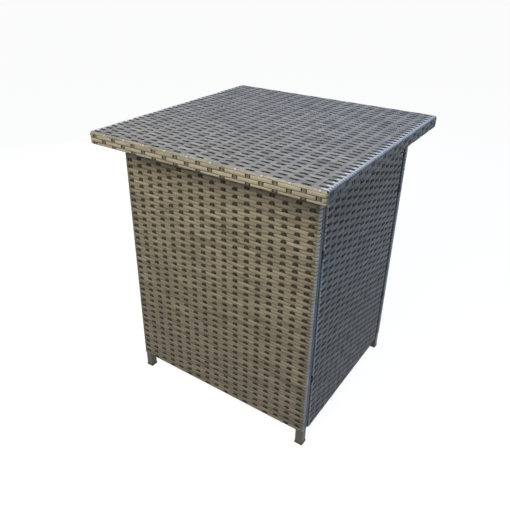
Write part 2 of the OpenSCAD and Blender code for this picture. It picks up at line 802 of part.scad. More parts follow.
// Strands round the lid's edge, with the turn under the rails and the lip up inside them
module lid_edge_weft() {
    axis_x = lid_half_w - lid_corner;
    axis_y = lid_half_d - lid_corner;
    lip_depth = lid_inner + strand_t;
    color(lid_colour) difference() {
        union() {
            lid_edge_straight(axis_x, axis_y);
            mirror([0, 1, 0]) lid_edge_straight(axis_x, axis_y);
            rotate([0, 0, 90]) lid_edge_straight(axis_y, axis_x);
            rotate([0, 0, -90]) lid_edge_straight(axis_y, axis_x);
            for (c = [[1, 1, 0], [-1, 1, 90], [-1, -1, 180], [1, -1, 270]])
                translate([c[0] * axis_x, c[1] * axis_y, 0]) rotate([0, 0, c[2]])
                    rotate_extrude(angle = 90) lid_edge_profile();
            translate([0, 0, lid_bottom]) linear_extrude(height = strand_t) difference() {
                square([2 * axis_x, 2 * axis_y], center = true);
                square([lid_w - 2 * lip_depth, lid_d - 2 * lip_depth], center = true);
            }
            translate([0, 0, lid_bottom]) linear_extrude(height = weave_t + lid_tube / 2) difference() {
                square([lid_w - 2 * lid_inner, lid_d - 2 * lid_inner], center = true);
                square([lid_w - 2 * lip_depth, lid_d - 2 * lip_depth], center = true);
            }
        }
        for (y = [-leg_y, lid_screw_y]) translate([0, y, lid_tube_z + lid_tube])
            cube([lid_w - 2 * lid_inner, crossbar_w, 2 * lid_tube], center = true);
    }
}

// Stakes of the lid: those of the top are bent over the front and back edges and turned in
// under the rails, and short ones stand in the left and right edges
module lid_stakes() {
    out_h = lid_t - 2 * strand_t;
    mid_z = (total_h + lid_bottom) / 2;
    color(stake_colour) {
        for (x = spread(lid_half_w, lid_stake_margin, lid_stakes_n))
            translate([x, 0, mid_z]) along_x(strand_w) difference() {
                rounded_rect(lid_d - 2 * strand_t, out_h, lid_roll - strand_t);
                rounded_rect(lid_d - 2 * weave_t, out_h - 2 * strand_t, lid_tube_corner);
                translate([0, -out_h / 2]) square([lid_d - 2 * lid_inner, out_h], center = true);
            }
        for (y = spread(lid_half_d, lid_stake_margin, lid_stakes_n), side = [left, right])
            translate([side * (lid_half_w - strand_t - strand_t / 2), y, mid_z])
                cube([strand_t, strand_w, lid_t - 2 * lid_roll], center = true);
    }
}

// Hinges

module hinge_screw_sinks() {
    for (i = [-1:1]) translate([i * hinge_screw_pitch, 0, 0]) {
        translate([0, 0, -eps]) cylinder(r = screw_hole_r, h = leaf_t + 2 * eps);
        cylinder(r1 = screw_hole_r, r2 = screw_hole_r + leaf_t, h = leaf_t);
        translate([0, 0, leaf_t]) cylinder(r = screw_hole_r + leaf_t, h = eps);
    }
}

// A knuckle along X, with the web that joins it to a leaf lying at z = knuckle_r, and the
// leaf running off towards +Y
module knuckle(x, length) {
    translate([x, 0, 0]) rotate([0, 90, 0]) cylinder(r = knuckle_r, h = length, center = true);
    translate([x - length / 2, 0, knuckle_r - leaf_t]) cube([length, knuckle_r + 2 * knuckle_clear, leaf_t]);
}

// A leaf with its knuckles: its outer face, at z = knuckle_r, lies on what it is screwed to
module leaf_shape(knuckle_xs, length, screw_y) {
    start = knuckle_r + knuckle_clear;
    difference() {
        union() {
            translate([-hinge_len / 2, start, knuckle_r - leaf_t])
                cube([hinge_len, screw_y + leaf_half - start, leaf_t]);
            for (x = knuckle_xs) knuckle(x, length);
        }
        rotate([0, 90, 0]) cylinder(r = hinge_pin_r + pin_clearance, h = hinge_len + 2 * eps, center = true);
        translate([0, screw_y, knuckle_r]) mirror([0, 0, 1]) hinge_screw_sinks();
    }
}

module hinge_body_leaf(side) {
    screw_drop = hinge_z - body_screw_z;
    outer_x = (hinge_len - side_knuckle) / 2;
    color("silver") translate([side * hinge_x, hinge_y, hinge_z]) rotate([-90, 0, 0])
        mirror([0, 0, 1]) leaf_shape([-outer_x, outer_x], side_knuckle, screw_drop);
}

module hinge_lid_leaf(side) {
    color("silver") translate([side * hinge_x, hinge_y, hinge_z])
        leaf_shape([0], mid_knuckle, lid_screw_y - hinge_y);
}

module hinge_pin(side) {
    color("gainsboro") translate([side * hinge_x, hinge_y, hinge_z]) rotate([0, 90, 0]) {
        cylinder(r = hinge_pin_r, h = hinge_len + 2 * pin_play, center = true);
        for (end = [left, right]) translate([0, 0, end * (hinge_len / 2 + pin_play + pin_head_t / 2)])
            cylinder(r = hinge_pin_r + pin_head_lip, h = pin_head_t, center = true);
    }
}

module hinge_screw() {
    cylinder(r1 = screw_r, r2 = screw_r + leaf_t - head_drop, h = leaf_t - head_drop);
    mirror([0, 0, 1]) cylinder(r = screw_r, h = screw_l - leaf_t);
}

module hinge_body_screws() {
    color("gainsboro") at_hinge_screw_x()
        translate([0, half_d, body_screw_z]) rotate([-90, 0, 0]) hinge_screw();
}

module hinge_lid_screws() {
    color("gainsboro") at_hinge_screw_x()
        translate([0, lid_screw_y, lid_tube_z]) mirror([0, 0, 1]) hinge_screw();
}

leg(left, front);  // front_left_leg
leg(right, front);  // front_right_leg
leg(left, back);  // back_left_leg
leg(right, back);  // back_right_leg
leg_rail(front, rail_top);  // front_top_rail
leg_rail(front, panel_bottom + strand_t + tube_w);  // front_bottom_rail
back_top_rail();
leg_rail(back, panel_bottom + strand_t + tube_w);  // back_bottom_rail
post(left, front);  // left_front_post
post(left, back);  // left_back_post
post_rail(left, rail_top);  // left_top_rail
post_rail(left, side_bottom + strand_t + tube_w);  // left_bottom_rail
post(right, front);  // right_front_post
post(right, back);  // right_back_post
post_rail(right, rail_top);  // right_top_rail
post_rail(right, side_bottom + strand_t + tube_w);  // right_bottom_rail
front_weft();
back_weft();
left_weft();
right_weft();
front_stakes();
back_stakes();
left_stakes();
right_stakes();
front_leg_wraps();
back_leg_wraps();
left_post_wraps();
right_post_wraps();
panel_spacers();
panel_bolts();
panel_washers();
rivet_nuts();
foot_caps();
base_tabs();
base_board();
base_screws();
liner();
liner_studs();
lid_front_rail();
lid_back_rail();
lid_left_rail();
lid_right_rail();
lid_front_crossbar();
lid_back_crossbar();
lid_top_weft();
lid_edge_weft();
lid_stakes();
lid_buffers();
hinge_body_leaf(left);  // left_hinge_body_leaf
hinge_lid_leaf(left);  // left_hinge_lid_leaf
hinge_pin(left);  // left_hinge_pin
hinge_body_leaf(right);  // right_hinge_body_leaf
hinge_lid_leaf(right);  // right_hinge_lid_leaf
hinge_pin(right);  // right_hinge_pin
hinge_body_screws();
hinge_lid_screws();
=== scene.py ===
"""Looks of the woven cushion storage box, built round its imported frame.

Flat polyethylene strand is woven over a frame of powder-coated tube in four walls and a lid. Every
strand is a piece of mesh of its own: a row of weft passes outside one stake and inside the next,
turns round the legs, the posts or the lid's edge, and ends tucked away where nobody sees it.
"""

import itertools
import json
import logging
import math
from collections.abc import Callable, Iterable, Iterator, Sequence
from dataclasses import dataclass
from enum import Enum
from functools import partial

import bmesh
import bpy
from mathutils import Matrix, Vector, noise


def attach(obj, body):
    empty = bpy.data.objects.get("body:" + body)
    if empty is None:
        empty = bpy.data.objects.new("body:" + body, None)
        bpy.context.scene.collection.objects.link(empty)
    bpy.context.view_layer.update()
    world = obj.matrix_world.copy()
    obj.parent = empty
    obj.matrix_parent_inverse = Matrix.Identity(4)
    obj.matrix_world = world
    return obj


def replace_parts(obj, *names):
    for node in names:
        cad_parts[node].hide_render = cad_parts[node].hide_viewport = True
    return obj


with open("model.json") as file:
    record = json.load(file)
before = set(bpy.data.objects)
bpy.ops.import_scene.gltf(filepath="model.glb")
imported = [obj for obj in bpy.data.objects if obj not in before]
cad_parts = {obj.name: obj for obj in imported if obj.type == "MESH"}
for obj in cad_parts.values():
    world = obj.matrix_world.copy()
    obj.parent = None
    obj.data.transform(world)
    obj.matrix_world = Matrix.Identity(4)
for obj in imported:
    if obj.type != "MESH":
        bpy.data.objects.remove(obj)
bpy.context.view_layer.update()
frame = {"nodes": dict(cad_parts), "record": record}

log = logging.getLogger("storage_box")

MM = 0.001
# A hair's breadth, by which a test of place is eased
HAIR = 0.1 * MM

# Sizes that the walls and the lid share
STRAND_LAYER = 1.4 * MM
WEAVE = 2 * STRAND_LAYER
TIGHT_TURN = 1.5 * MM
TUBE = 20 * MM
TUBE_ROUND = 2.5 * MM
LID_TUBE = 25 * MM
BODY_TOP = 675 * MM
TOTAL_HEIGHT = 710 * MM
LID_BOTTOM = 679.4 * MM
LID_ROLL = 5.3 * MM
LID_CORNER = 6 * MM

# Error of hand work: the length over which it changes, and the most that it is
ROW_ERROR = (70 * MM, 0.35 * MM)
EDGE_ERROR = (70 * MM, 0.3 * MM)
RIM_ERROR = (80 * MM, 0.3 * MM)
STAKE_ERROR = (120 * MM, 0.8 * MM)
TILT_ERROR = (90 * MM, 0.12)

# Up to this dip a strand gets no painted shade
UNSHADED = 0.15

UP = Vector((0, 0, 1))


def linear(code: str) -> tuple[float, float, float, float]:
    """Turn an sRGB hex colour to the linear one that a shader takes.

    Args:
        code: Six hex digits after a hash.

    Returns:
        Red, green and blue as linear values, and an alpha of one.
    """
    parts = [int(code[i : i + 2], 16) / 255 for i in (1, 3, 5)]
    red, green, blue = (p / 12.92 if p <= 0.04045 else ((p + 0.055) / 1.055) ** 2.4 for p in parts)
    return red, green, blue, 1.0


def add_node(
    tree: bpy.types.NodeTree,
    kind: str,
    inputs: dict[str | int, object] | None = None,
    **settings: object,
) -> bpy.types.Node:
    """Add a node, set it up and feed its inputs.

    Args:
        tree: The node tree that the node joins.
        kind: The node's type name, less the ShaderNode that it begins with.
        inputs: A value, a socket or a node whose first output is meant, by the name or number of
            the input.
        **settings: Properties of the node.

    Returns:
        The new node.
    """
    node = tree.nodes.new(f"ShaderNode{kind}")
    for name, value in settings.items():
        setattr(node, name, value)
    for name, value in (inputs or {}).items():
        if isinstance(value, bpy.types.Node):
            value = value.outputs[0]
        if isinstance(value, bpy.types.NodeSocket):
            tree.links.new(value, node.inputs[name])
        else:
            node.inputs[name].default_value = value
    return node


def new_material(name: str) -> tuple[bpy.types.Material, Callable[..., bpy.types.Node]]:
    """Make an empty node material.

    Args:
        name: The material's name.

    Returns:
        The material, and add_node bound to its tree.
    """
    material = bpy.data.materials.new(name)
    material.use_nodes = True
    material.node_tree.nodes.clear()
    return material, partial(add_node, material.node_tree)


def make_object(name: str, mesh: bmesh.types.BMesh) -> bpy.types.Object:
    """Turn a finished mesh into an object of the scene, and free it.

    Args:
        name: The object's name.
        mesh: The mesh, in the box's own frame.

    Returns:
        The object.
    """
    data = bpy.data.meshes.new(name)
    mesh.to_mesh(data)
    mesh.free()
    piece = bpy.data.objects.new(name, data)
    bpy.context.scene.collection.objects.link(piece)
    log.info("%s: %d faces", name, len(data.polygons))
    return piece


def dress(piece: bpy.types.Object, material: bpy.types.Material) -> None:
    """Give every face of a piece one material.

    Args:
        piece: The mesh object.
        material: The material.
    """
    piece.data.materials.clear()
    piece.data.materials.append(material)
    for polygon in piece.data.polygons:
        polygon.material_index = 0


def wander(seed: float, along: float, reach: float, size: float) -> float:
    """Give the small, smooth error of hand work.

    Args:
        seed: A number of the strand's own.
        along: Where on the strand, in metres.
        reach: The length over which the error changes, in metres.
        size: The most that the error may be.

    Returns:
        An offset between minus size and size.
    """
    return size * noise.noise(Vector((along / reach, seed * 7.31, seed * 0.37)))


# Finishes


@dataclass(frozen=True)
class ExtrudedStrand:
    """Synthetic rattan: flat polyethylene strand, dyed through and extruded in a ribbed die.

    The die leaves fine ribs along the strand, and uneven dye leaves streaks and a tone that differs
    from strand to strand, so the eye sees a silky, mottled grey brown. Small flecks in the tone are
    painted highlights of the ribs. Painted shade darkens strands where they dip behind stakes and
    along their edges, and painted highlight makes them pale where they turn corners.
    """

    name: str
    dark: str
    light: str
    roughness: float = 0.45
    shine: float = 0.1
    # How strong the painted shade gets, the colour of the painted highlight and that of the painted
    # shade
    shade_strength: float = 0.95
    wear_and_highlight: str = "#dfe1e1"
    shade_colour: str = "#0c0c0b"
    rib_pitch: float = 1.6
    rib_depth: float = 0.10

    def build(self) -> bpy.types.Material:
        """Make the node material, whose patterns follow each strand through its lay attribute.

        Returns:
            The material.
        """
        material, add = new_material(self.name)
        lay = add("Attribute", attribute_name="lay").outputs["Vector"]
        # The tone of a length of strand, streaks of dye and flecks of painted highlight on the
        # ribs, by their length and width in millimetres and by how far apart the patterns of two
        # strands lie
        tone, streak, highlight_fleck = (
            add("TexNoise",
                {"Vector": add("VectorMath", {0: lay, 1: (1 / length, 1 / width, apart)},
                               operation="MULTIPLY"),
                 "Scale": 1.0, "Detail": detail})
            for length, width, apart, detail in ((120, 20, 3.7, 2.0), (30, 1.2, 5.3, 3.0),
                                                 (7, 4, 9.1, 1.0)))
        blend = add("Math", {0: streak, 1: 0.5, 2: -0.25}, operation="MULTIPLY_ADD")
        blend = add("Math", {0: blend, 1: tone}, operation="ADD")
        blend = add("Math", {0: highlight_fleck, 1: 0.3, 2: blend}, operation="MULTIPLY_ADD")
        spread = add("MapRange", {"Value": blend, "From Min": 0.4, "From Max": 0.9})
        colour = add("Mix", {"Factor": spread, 6: linear(self.dark), 7: linear(self.light)},
                     data_type="RGBA").outputs[2]
        # Painted highlight: pale, and a little smoother, where a strand turns a corner and on lit
        # faces of the lid
        wear_and_highlight = add("Attribute", attribute_name="wear_and_highlight").outputs["Fac"]
        colour = add("Mix", {"Factor": wear_and_highlight, 6: colour, 7: linear(self.wear_and_highlight)},
                     data_type="RGBA").outputs[2]
        # Painted shade darkens a strand by its dip: where it dips behind a stake, most along its
        # lower edge, and where shade is painted in through the dip
        dip = add("Attribute", attribute_name="dip").outputs["Fac"]
        across = add("SeparateXYZ", {0: lay}).outputs["Y"]
        painted_shade = add("MapRange",
                   {"Value": dip, "From Min": UNSHADED, "From Max": 0.45, "To Max": self.shade_strength})
        lower = add("MapRange", {"Value": across, "From Min": 3.0, "From Max": 1.0, "To Min": 0.3})
        painted_shade = add("Math", {0: painted_shade, 1: lower}, operation="MULTIPLY")
        # Painted shade of the gaps between rows lines both edges too, and shows most where a
        # highlight is painted
        rim = add("Math", {0: across}, operation="ABSOLUTE")
        rim = add("MapRange", {"Value": rim, "From Min": 3.0, "From Max": 4.4, "To Max": 1.2})
        shown = add("Math", {0: wear_and_highlight, 1: 0.25}, operation="ADD")
        rim = add("Math", {0: rim, 1: shown}, operation="MULTIPLY")
        painted_shade = add("Math", {0: painted_shade, 1: rim}, operation="MAXIMUM")
        colour = add("Mix", {"Factor": painted_shade, 6: colour, 7: linear(self.shade_colour)},
                     data_type="RGBA").outputs[2]
        turn = add("Math", {0: across, 1: 2 * math.pi / self.rib_pitch}, operation="MULTIPLY")
        rib = add("Math", {0: turn}, operation="SINE")
        height = add("Math", {0: streak, 1: 1.5, 2: rib}, operation="MULTIPLY_ADD")
        bump = add("Bump", {"Strength": 0.5, "Distance": self.rib_depth * MM, "Height": height})
        gloss = add("MapRange", {"Value": streak, "To Min": self.roughness - 0.08,
                                 "To Max": self.roughness + 0.08})
        gloss = add("Math", {0: wear_and_highlight, 1: -0.2, 2: gloss}, operation="MULTIPLY_ADD")
        shader = add("BsdfPrincipled",
                     {"Base Color": colour, "Roughness": gloss, "Specular IOR Level": self.shine,
                      "Normal": bump})
        add("OutputMaterial", {"Surface": shader})
        return material


@dataclass(frozen=True)
class GrainedSurface:
    """A surface with one grain in object space: powder coat, moulded plastic, rubber or board.

    A patch noise shifts the colour a little, as handling and dust do, and a fine noise raises the
    grain that the coating, the mould or the press leaves.
    """

    name: str
    colour: str
    wear_and_highlight: str
    roughness: float
    grain: float
    grain_depth: float
    ior: float = 1.5
    metallic: float = 0.0
    patch: float = 45.0

    def build(self) -> bpy.types.Material:
        """Make the node material, with its grain and its patches given in millimetres.

        Returns:
            The material.
        """
        material, add = new_material(self.name)
        place = add("TexCoord").outputs["Object"]
        patches, grains = (
            add("TexNoise", {"Vector": place, "Scale": 1 / (size * MM), "Detail": detail})
            for size, detail in ((self.patch, 4.0), (self.grain, 2.0)))
        share = add("MapRange", {"Value": patches, "From Min": 0.4, "From Max": 0.8})
        colour = add("Mix", {"Factor": share, 6: linear(self.colour), 7: linear(self.wear_and_highlight)},
                     data_type="RGBA").outputs[2]
        gloss = add("MapRange", {"Value": patches, "To Min": self.roughness - 0.1,
                                 "To Max": self.roughness + 0.1})
        bump = add("Bump", {"Strength": 0.4, "Distance": self.grain_depth * MM, "Height": grains})
        shader = add("BsdfPrincipled",
                     {"Base Color": colour, "Roughness": gloss, "IOR": self.ior,
                      "Metallic": self.metallic, "Normal": bump})
        add("OutputMaterial", {"Surface": shader})
        return material


@dataclass(frozen=True)
class CoatedCloth:
    """Liner cloth: polyester woven plain and coated on one side.

    The eye sees a dull, even cloth with a close square weave and soft creases.
    """

    name: str
    colour: str
    shade: str
    thread: float = 1.2
    cloud: float = 60.0

    def build(self) -> bpy.types.Material:
        """Make the node material. Real threads are 0.4 mm apart, drawn coarser to show at all.

        Returns:
            The material.
        """
        material, add = new_material(self.name)
        place = add("TexCoord").outputs["Object"]
        scaled = add("VectorMath", {0: place, "Scale": 2 * math.pi / (self.thread * MM)},
                     operation="SCALE")
        waves = add("VectorMath", {0: scaled}, operation="SINE")
        axes = add("SeparateXYZ", {0: waves}).outputs
        plan = add("Math", {0: axes["X"], 1: axes["Y"]}, operation="ADD")
        weave = add("Math", {0: plan, 1: axes["Z"]}, operation="MULTIPLY")
        clouds = add("TexNoise", {"Vector": place, "Scale": 1 / (self.cloud * MM), "Detail": 4.0})
        mixed = add("Math", {0: weave, 1: 0.12, 2: clouds}, operation="MULTIPLY_ADD")
        colour = add("Mix", {"Factor": mixed, 6: linear(self.shade), 7: linear(self.colour)},
                     data_type="RGBA").outputs[2]
        bump = add("Bump", {"Strength": 0.5, "Distance": 0.2 * MM, "Height": weave})
        shader = add("BsdfPrincipled",
                     {"Base Color": colour, "Roughness": 0.75, "Sheen Weight": 0.15,
                      "Normal": bump})
        add("OutputMaterial", {"Surface": shader})
        return material


MATERIALS: dict[str, bpy.types.Material] = {
    kind: finish.build()
    for kind, finish in {
        # Weft and stakes are the same stock; the stakes are painted darker, as painted shade of the
        # recesses that they show in, more in the side walls and most of all in the lid
        "weft": ExtrudedStrand("extruded_polyethylene_weft", "#6e6c68", "#aba8a2"),
        "stake": ExtrudedStrand("polyethylene_stake_painted_shade", "#35332f", "#4c4a45", shade_strength=0.0),
        "side_stake": ExtrudedStrand("polyethylene_side_stake_painted_shade", "#1e1d1c", "#302f2d",
                                     shade_strength=0.0),
        "lid_stake": ExtrudedStrand("polyethylene_lid_stake_painted_shade", "#171615", "#262523",
                                    shade_strength=0.0),
        # Powder coat on steel: baked paint with a faint orange-peel skin
        "tube": GrainedSurface("powder_coated_steel", "#4b4940", "#5c594e", 0.45, 0.9, 0.05),
        # Polypropylene from an etched mould: dull and finely grained
        "plastic": GrainedSurface("moulded_polypropylene", "#050505", "#0b0b0b", 0.8, 0.5, 0.06,
                                  ior=1.3),
        # Foot caps in the frame's colour, scuffed by paving
        "foot": GrainedSurface("moulded_foot_polyethylene", "#3d3934", "#5b564e", 0.5, 0.6, 0.06),
        # Zinc plate on steel: bright with a grey bloom
        "zinc": GrainedSurface("zinc_plated_steel", "#a9abac", "#8d8f90", 0.32, 1.2, 0.02,
                               ior=1.45, metallic=1.0, patch=6.0),
        # Foamed PVC sheet, sawn to size: even and matt
        "board": GrainedSurface("foamed_pvc_board", "#57534c", "#67625a", 0.7, 0.4, 0.05),
        # EPDM rubber from a mould: black with a grey bloom
        "rubber": GrainedSurface("moulded_epdm_rubber", "#161617", "#232324", 0.8, 0.5, 0.05),
        "liner": CoatedCloth("coated_polyester_cloth", "#b5ab98", "#958c7a"),
    }.items()
}


# Lines and strands


@dataclass(slots=True)
class Stop:
    """One place on a flat line: where it is, which way it runs and whether it is in a turn."""

    x: float
    y: float
    heading: tuple[float, float]
    distance: float
    turning: bool = False


class BentLine:
    """A flat line of straight runs joined by round turns."""

    def __init__(self, corners: Sequence[tuple[float, float]], radius: Sequence[float]) -> None:
        """Lay the line out.

        Args:
            corners: The line's ends and the sharp corners between them.
            radius: The radius of the turn at each corner between the ends.
        """
        points = [Vector(c) for c in corners]
        self.runs: list[tuple[Vector, Vector]] = []
        self.turns: list[tuple[Vector, float, float, float]] = []
        start = points[0]
        for i in range(1, len(points) - 1):
            before = (points[i] - points[i - 1]).normalized()
            after = (points[i + 1] - points[i]).normalized()
            sweep = before.angle_signed(after) * -1
            cut = radius[i - 1] * math.tan(abs(sweep) / 2)
            end = points[i] - before * cut
            side = Vector((-before.y, before.x)) * math.copysign(1, sweep)
            centre = end + side * radius[i - 1]
            first = math.atan2(end.y - centre.y, end.x - centre.x)
            self.runs.append((start, end))
            self.turns.append((centre, radius[i - 1], first, sweep))
            start = points[i] + after * cut
        self.runs.append((start, points[-1]))
        lengths = [(b - a).length for a, b in self.runs]
        self.length = sum(lengths) + sum(r * abs(sweep) for _, r, _, sweep in self.turns)

    def stops(self, marks: Sequence[float], in_turn: int = 4) -> Iterator[Stop]:
        """Give stops along the line.

        Args:
            marks: Where a run gets a stop, as places along it from the middle of the box.
            in_turn: How many parts a turn is cut into.

        Yields:
            The stops in order, with one at each end of each run.
        """
        gone = 0.0
        for i, (a, b) in enumerate(self.runs):
            span = (b - a).length
            if span > 1e-9:
                ahead = (b - a) / span
                ways = sorted(mark - a.dot(ahead) for mark in marks)
                for mark in [0.0, *(way for way in ways if MM < way < span - MM), span]:
                    place = a + ahead * mark
                    yield Stop(place.x, place.y, (ahead.x, ahead.y), gone + mark)
                gone += span
            if i < len(self.turns):
                centre, radius, start, sweep = self.turns[i]
                way = math.copysign(1, sweep)
                for part in range(1, in_turn):
                    angle = start + sweep * part / in_turn
                    heading = (-math.sin(angle) * way, math.cos(angle) * way)
                    yield Stop(centre.x + radius * math.cos(angle),
                               centre.y + radius * math.sin(angle), heading,
                               gone + radius * abs(sweep) * part / in_turn, True)
                gone += radius * abs(sweep)


def nearest(stops: Iterable[Stop], distance: float) -> Stop:
    """Give the stop nearest to a distance along their line."""
    return min(stops, key=lambda stop: abs(stop.distance - distance))


@dataclass(slots=True)
class Station:
    """One ring of a strand: its middle, the ways across and out of its face, and its distance
    along the strand. Dip says how far it dips and how much painted shade it gets, a further share
    how much painted highlight it gets, width is the share of its width that it keeps, and curl says
    how sharply it bends round what it lies on."""

    place: Vector
    across: Vector
    out: Vector
    distance: float
    dip: float = 0.0
    width: float = 1.0
    curl: float = 0.0
    wear_and_highlight: float = 0.0


@dataclass(frozen=True)
class FlatStrand:
    """Section of a flat strand: crowned on both faces, with rounded edges."""

    width: float = 8.8 * MM
    thickness: float = 1.4 * MM
    sides: int = 8
    pinch: float = 0.05


@dataclass(frozen=True)
class StrandBundle:
    """Many strands in one mesh, each bent into place from a straight one."""

    strand: FlatStrand
    strands: list[list[Station]]

    def straight_strand(self, mesh: bmesh.types.BMesh, rings: int) -> None:
        """Make a straight strand along X with a ring at each whole number.

        Args:
            mesh: The mesh that it joins. Its vertices are marked with the number of rings.
            rings: The number of rings.
        """
        lay = mesh.verts.layers.float_vector["lay"]
        half = math.pi / self.strand.sides
        ring = bmesh.ops.create_circle(mesh, cap_ends=True, segments=self.strand.sides,
                                       radius=0.5 / math.cos(half))["verts"]
        size = Matrix.Diagonal((1, self.strand.width, self.strand.thickness, 1))
        upright = Matrix.Rotation(math.pi / 2, 4, "Y") @ Matrix.Rotation(half, 4, "Z")
        bmesh.ops.transform(mesh, matrix=size @ upright, verts=ring)
        cap = ring[0].link_faces[0]
        far = bmesh.ops.extrude_face_region(mesh, geom=[cap])["geom"]
        far_verts = [g for g in far if isinstance(g, bmesh.types.BMVert)]
        bmesh.ops.translate(mesh, verts=far_verts, vec=(rings - 1, 0, 0))
        long_edges = [edge for vert in ring for edge in vert.link_edges
                      if abs(edge.verts[0].co.x - edge.verts[1].co.x) > 0.5]
        bmesh.ops.subdivide_edges(mesh, edges=long_edges, cuts=rings - 2)
        for vert in mesh.verts:
            if vert[lay].z == 0:
                vert[lay] = (0, 0, -rings)

    def finish(self, name: str, kind: str, place: Matrix = Matrix()) -> bpy.types.Object:
        """Bend all the strands, make the mesh an object and dress it.

        Args:
            name: The object's name.
            kind: The kind of its material.
            place: Matrix from the frame of the stations to the box's.

        Returns:
            The object, shaded smooth.
        """
        mesh = bmesh.new()
        lay = mesh.verts.layers.float_vector.new("lay")
        dip = mesh.verts.layers.float.new("dip")
        wear_and_highlight = mesh.verts.layers.float.new("wear_and_highlight")
        for rings in sorted({len(stations) for stations in self.strands}):
            self.straight_strand(mesh, rings)
        bmesh.ops.recalc_face_normals(mesh, faces=mesh.faces)
        straight: dict[int, list] = {}
        for vert in mesh.verts:
            straight.setdefault(-round(vert[lay].z), []).append(vert)
        for item in [*mesh.edges, *mesh.faces]:
            straight[-round(item.verts[0][lay].z)].append(item)
        for number, stations in enumerate(self.strands, 1):
            for vert in bmesh.ops.duplicate(mesh, geom=straight[len(stations)])["geom"]:
                if isinstance(vert, bmesh.types.BMVert):
                    at = stations[round(vert.co.x)]
                    across, out = vert.co.y, vert.co.z
                    vert[lay] = (at.distance / MM, across / MM, number)
                    vert[dip] = at.dip
                    vert[wear_and_highlight] = at.wear_and_highlight
                    across *= at.width * (1 - self.strand.pinch * at.dip**2)
                    out -= at.curl * across**2 / 2
                    vert.co = at.place + at.across * across + at.out * out
        spare = [v for v in mesh.verts if v[lay].z < 0]
        bmesh.ops.delete(mesh, geom=spare, context="VERTS")
        bmesh.ops.transform(mesh, matrix=place, verts=mesh.verts)
        for face in mesh.faces:
            face.smooth = True
        log.info("%s: %d strands", name, len(self.strands))
        piece = make_object(name, mesh)
        dress(piece, MATERIALS[kind])
        return piece


@dataclass(frozen=True)
class Swing:
    """How a strand swings in and out as it passes the stakes. Depths count from the outer face."""

    outer: float = 0.7 * MM
    inner: float = 2.3 * MM
    hidden: float = 3.5 * MM
    slope: float = 4.5 * MM
    spread: float = 1.0
    flat: float = 5 * MM

    def dip(self, gap: float) -> float:
        """Share of the way in, from 0 to 1, at a gap from the middle of the stake in front."""
        share = min(1.0, max(0.0, (gap - self.hidden) / self.slope))
        return 1 - share * share * (3 - 2 * share)

    def bends(self, place: float) -> list[float]:
        """Places of the bends by which a strand passes behind a stake."""
        reach = [self.hidden, self.hidden + self.slope / 2, self.hidden + self.slope]
        return [place + gap for gap in (*(-r for r in reversed(reach)), 0.0, *reach)]

    def push(self, dip: float) -> float:
        """How far in the strand's middle lies at this share of the way."""
        return (self.inner - self.outer) * dip

    def width(self, gap: float) -> float:
        """Share of its width at a gap from the stake that it lies flat on, where it spreads."""
        return self.spread if gap < self.flat + MM else 1.0


@dataclass(frozen=True)
class StakeRow:
    """Even stakes along one side, counted from its middle."""

    number: int
    reach: float
    half_width: float = 4 * MM

    @property
    def pitch(self) -> float:
        """Distance between two stakes."""
        return 2 * self.reach / (self.number - 1)

    @property
    def places(self) -> list[float]:
        """Places of the stakes along the side."""
        return [-self.reach + i * self.pitch for i in range(self.number)]

    def in_front(self, row: int) -> list[float]:
        """Places of the stakes in front of a row's strand. The others face the next row."""
        return self.places[(row + 1) % 2 :: 2]

    def gap(self, x: float, row: int) -> float:
        """Distance from a place along the side to the nearest stake in front of a row's strand."""
        return min(abs(x - place) for place in self.in_front(row))

    def beyond(self, x: float) -> bool:
        """Whether a place lies outside all the stakes."""
        return abs(x) > self.reach + self.half_width - HAIR

    def marks(self, row: int, swing: Swing) -> list[float]:
        """Places at which a row's strand needs a station: over each stake and at each bend.

        Args:
            row: Number of the row.
            swing: How its strand passes the stakes.

        Returns:
            The places along the side, in no order.
        """
        marks = [bend for place in self.in_front(row) for bend in swing.bends(place)]
        for place in self.in_front(row + 1):
            marks.append(place)
            if swing.spread > 1:
                marks += [place - swing.flat, place + swing.flat]
        return marks


class Side(Enum):
    """The four sides, each with the turn that brings a wall drawn facing -Y to it."""

    FRONT = 0
    RIGHT = 90
    BACK = 180
    LEFT = 270


class RowEnd(Enum):
    """How a row ends: round the whole tube, short of a rail's end, or short of a seam slot."""

    ROUND = "round"
    RAIL = "rail"
    SLOT = "slot"


# The strands of the lid and the side panels lie flat and wide over the stakes
WIDE_SWING = Swing(slope=9 * MM, spread=1.22)


@dataclass(frozen=True, kw_only=True)
class Weave:
    """The strands of a weave: weft over thinner stakes, which swing a little the other way."""

    weft: FlatStrand = FlatStrand()
    stake: FlatStrand = FlatStrand(8 * MM, 1.0 * MM, 6)
    stake_depth: float = 1.55 * MM
    stake_swing: float = 0.3 * MM


